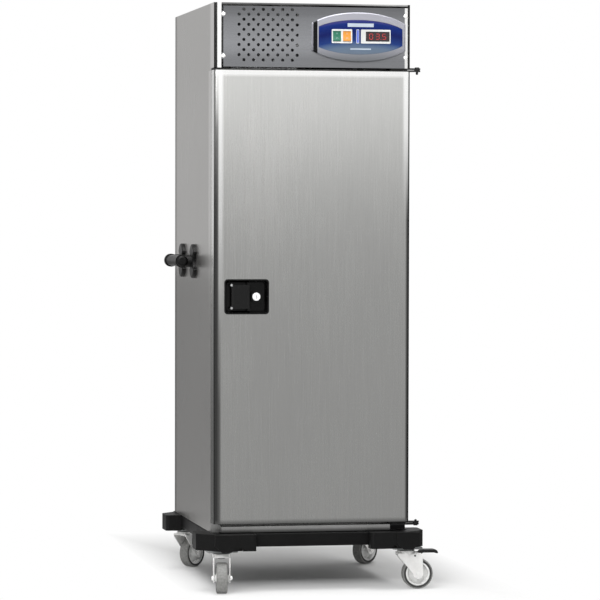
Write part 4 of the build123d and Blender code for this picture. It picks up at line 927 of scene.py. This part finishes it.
def world(soft):
    """Soft light from all round, and plain white where a straight or mirrored look ends."""
    scene_world = bpy.data.worlds.new("studio")
    bpy.context.scene.world = scene_world
    scene_world.use_nodes = True
    tree = scene_world.node_tree
    tree.nodes.clear()
    rays = tree.nodes.new("ShaderNodeLightPath")
    seen = rays.outputs["Is Camera Ray"]
    for kind in ("Is Glossy Ray", "Is Transmission Ray"):
        either = tree.nodes.new("ShaderNodeMath")
        either.operation = "MAXIMUM"
        tree.links.new(seen, either.inputs[0])
        tree.links.new(rays.outputs[kind], either.inputs[1])
        seen = either.outputs[0]
    mix = tree.nodes.new("ShaderNodeMixShader")
    tree.links.new(seen, mix.inputs[0])
    for socket, strength in ((mix.inputs[1], soft), (mix.inputs[2], 1.0)):
        light = tree.nodes.new("ShaderNodeBackground")
        light.inputs["Color"].default_value = (1, 1, 1, 1)
        light.inputs["Strength"].default_value = strength
        tree.links.new(light.outputs[0], socket)
    output = tree.nodes.new("ShaderNodeOutputWorld")
    tree.links.new(mix.outputs[0], output.inputs["Surface"])


def softbox(name, place, target, size, watts):
    """A soft square lamp that points at a target."""
    data = bpy.data.lights.new(name, "AREA")
    data.shape = "RECTANGLE"
    data.size, data.size_y = size
    data.energy = watts
    lamp = bpy.data.objects.new(name, data)
    lamp.location = place
    lamp.rotation_euler = (Vector(target) - Vector(place)).to_track_quat("-Z", "Y").to_euler()
    lamp.visible_camera = False
    bpy.context.scene.collection.objects.link(lamp)


studio_floor()
world(0.37)
front_greys = ((0.0, 0.40), (0.95, 0.43), (1.25, 0.52), (1.45, 0.72), (1.65, 0.93), (1.85, 1.0))
wall_card("card_front", -3.0, 3.0, -1.5, -1.5, 0.0, 1.85, *front_greys)
card("card_floor", [(x, y, 0.003) for x, y in rectangle(0.0, -1.0, 3.0, 0.5)], 0.36)
wall_card("card_back_low", -3.0, -0.36, 1.3, 1.3, 0.0, 1.02, 0.30)
wall_card("card_back_high", -3.0, -0.36, 1.3, 1.3, 1.02, 3.0, 0.62)
wall_card("card_left", -2.6, -2.6, -3.5, -0.6, 0.0, 2.6, 0.02)
wall_card("card_right", 2.6, 2.6, -1.5, 2.0, 0.0, 2.6, 0.02)
softbox("lamp_top", (-0.2, -1.3, 4.4), (0, 0, 0), (3.0, 3.0), 170)
softbox("lamp_front", (-2.6, -6.0, 3.6), (0, 0, 1.0), (2.6, 2.6), 220)


# Camera, fitted to the edges of the cabinet and to the castors

camera_left, camera_away, camera_height = 2.0185, 10.0809, 1.2118  # from the door's face
heading, dip, roll = (math.radians(degrees) for degrees in (11.103, 1.501, 0.126))
camera_place = Vector(((left + right) / 2 - camera_left, front - camera_away, camera_height))
ahead = Vector((math.sin(heading) * math.cos(dip), math.cos(heading) * math.cos(dip), -math.sin(dip)))
level = Vector((math.cos(heading), -math.sin(heading), 0))
above = level.cross(ahead)
across = level * math.cos(roll) + above * math.sin(roll)
upward = across.cross(ahead)
lens = bpy.data.cameras.new("camera")
lens.lens = 191.05  # mm
lens.sensor_width = 36.0  # mm
lens.sensor_fit = "HORIZONTAL"
lens.clip_end = 200.0
camera = bpy.data.objects.new("camera", lens)
stand = Matrix((across, upward, -ahead)).transposed().to_4x4()
stand.translation = camera_place
camera.matrix_world = stand
bpy.context.scene.collection.objects.link(camera)
bpy.context.scene.camera = camera
bpy.context.scene.view_settings.view_transform = "Standard"
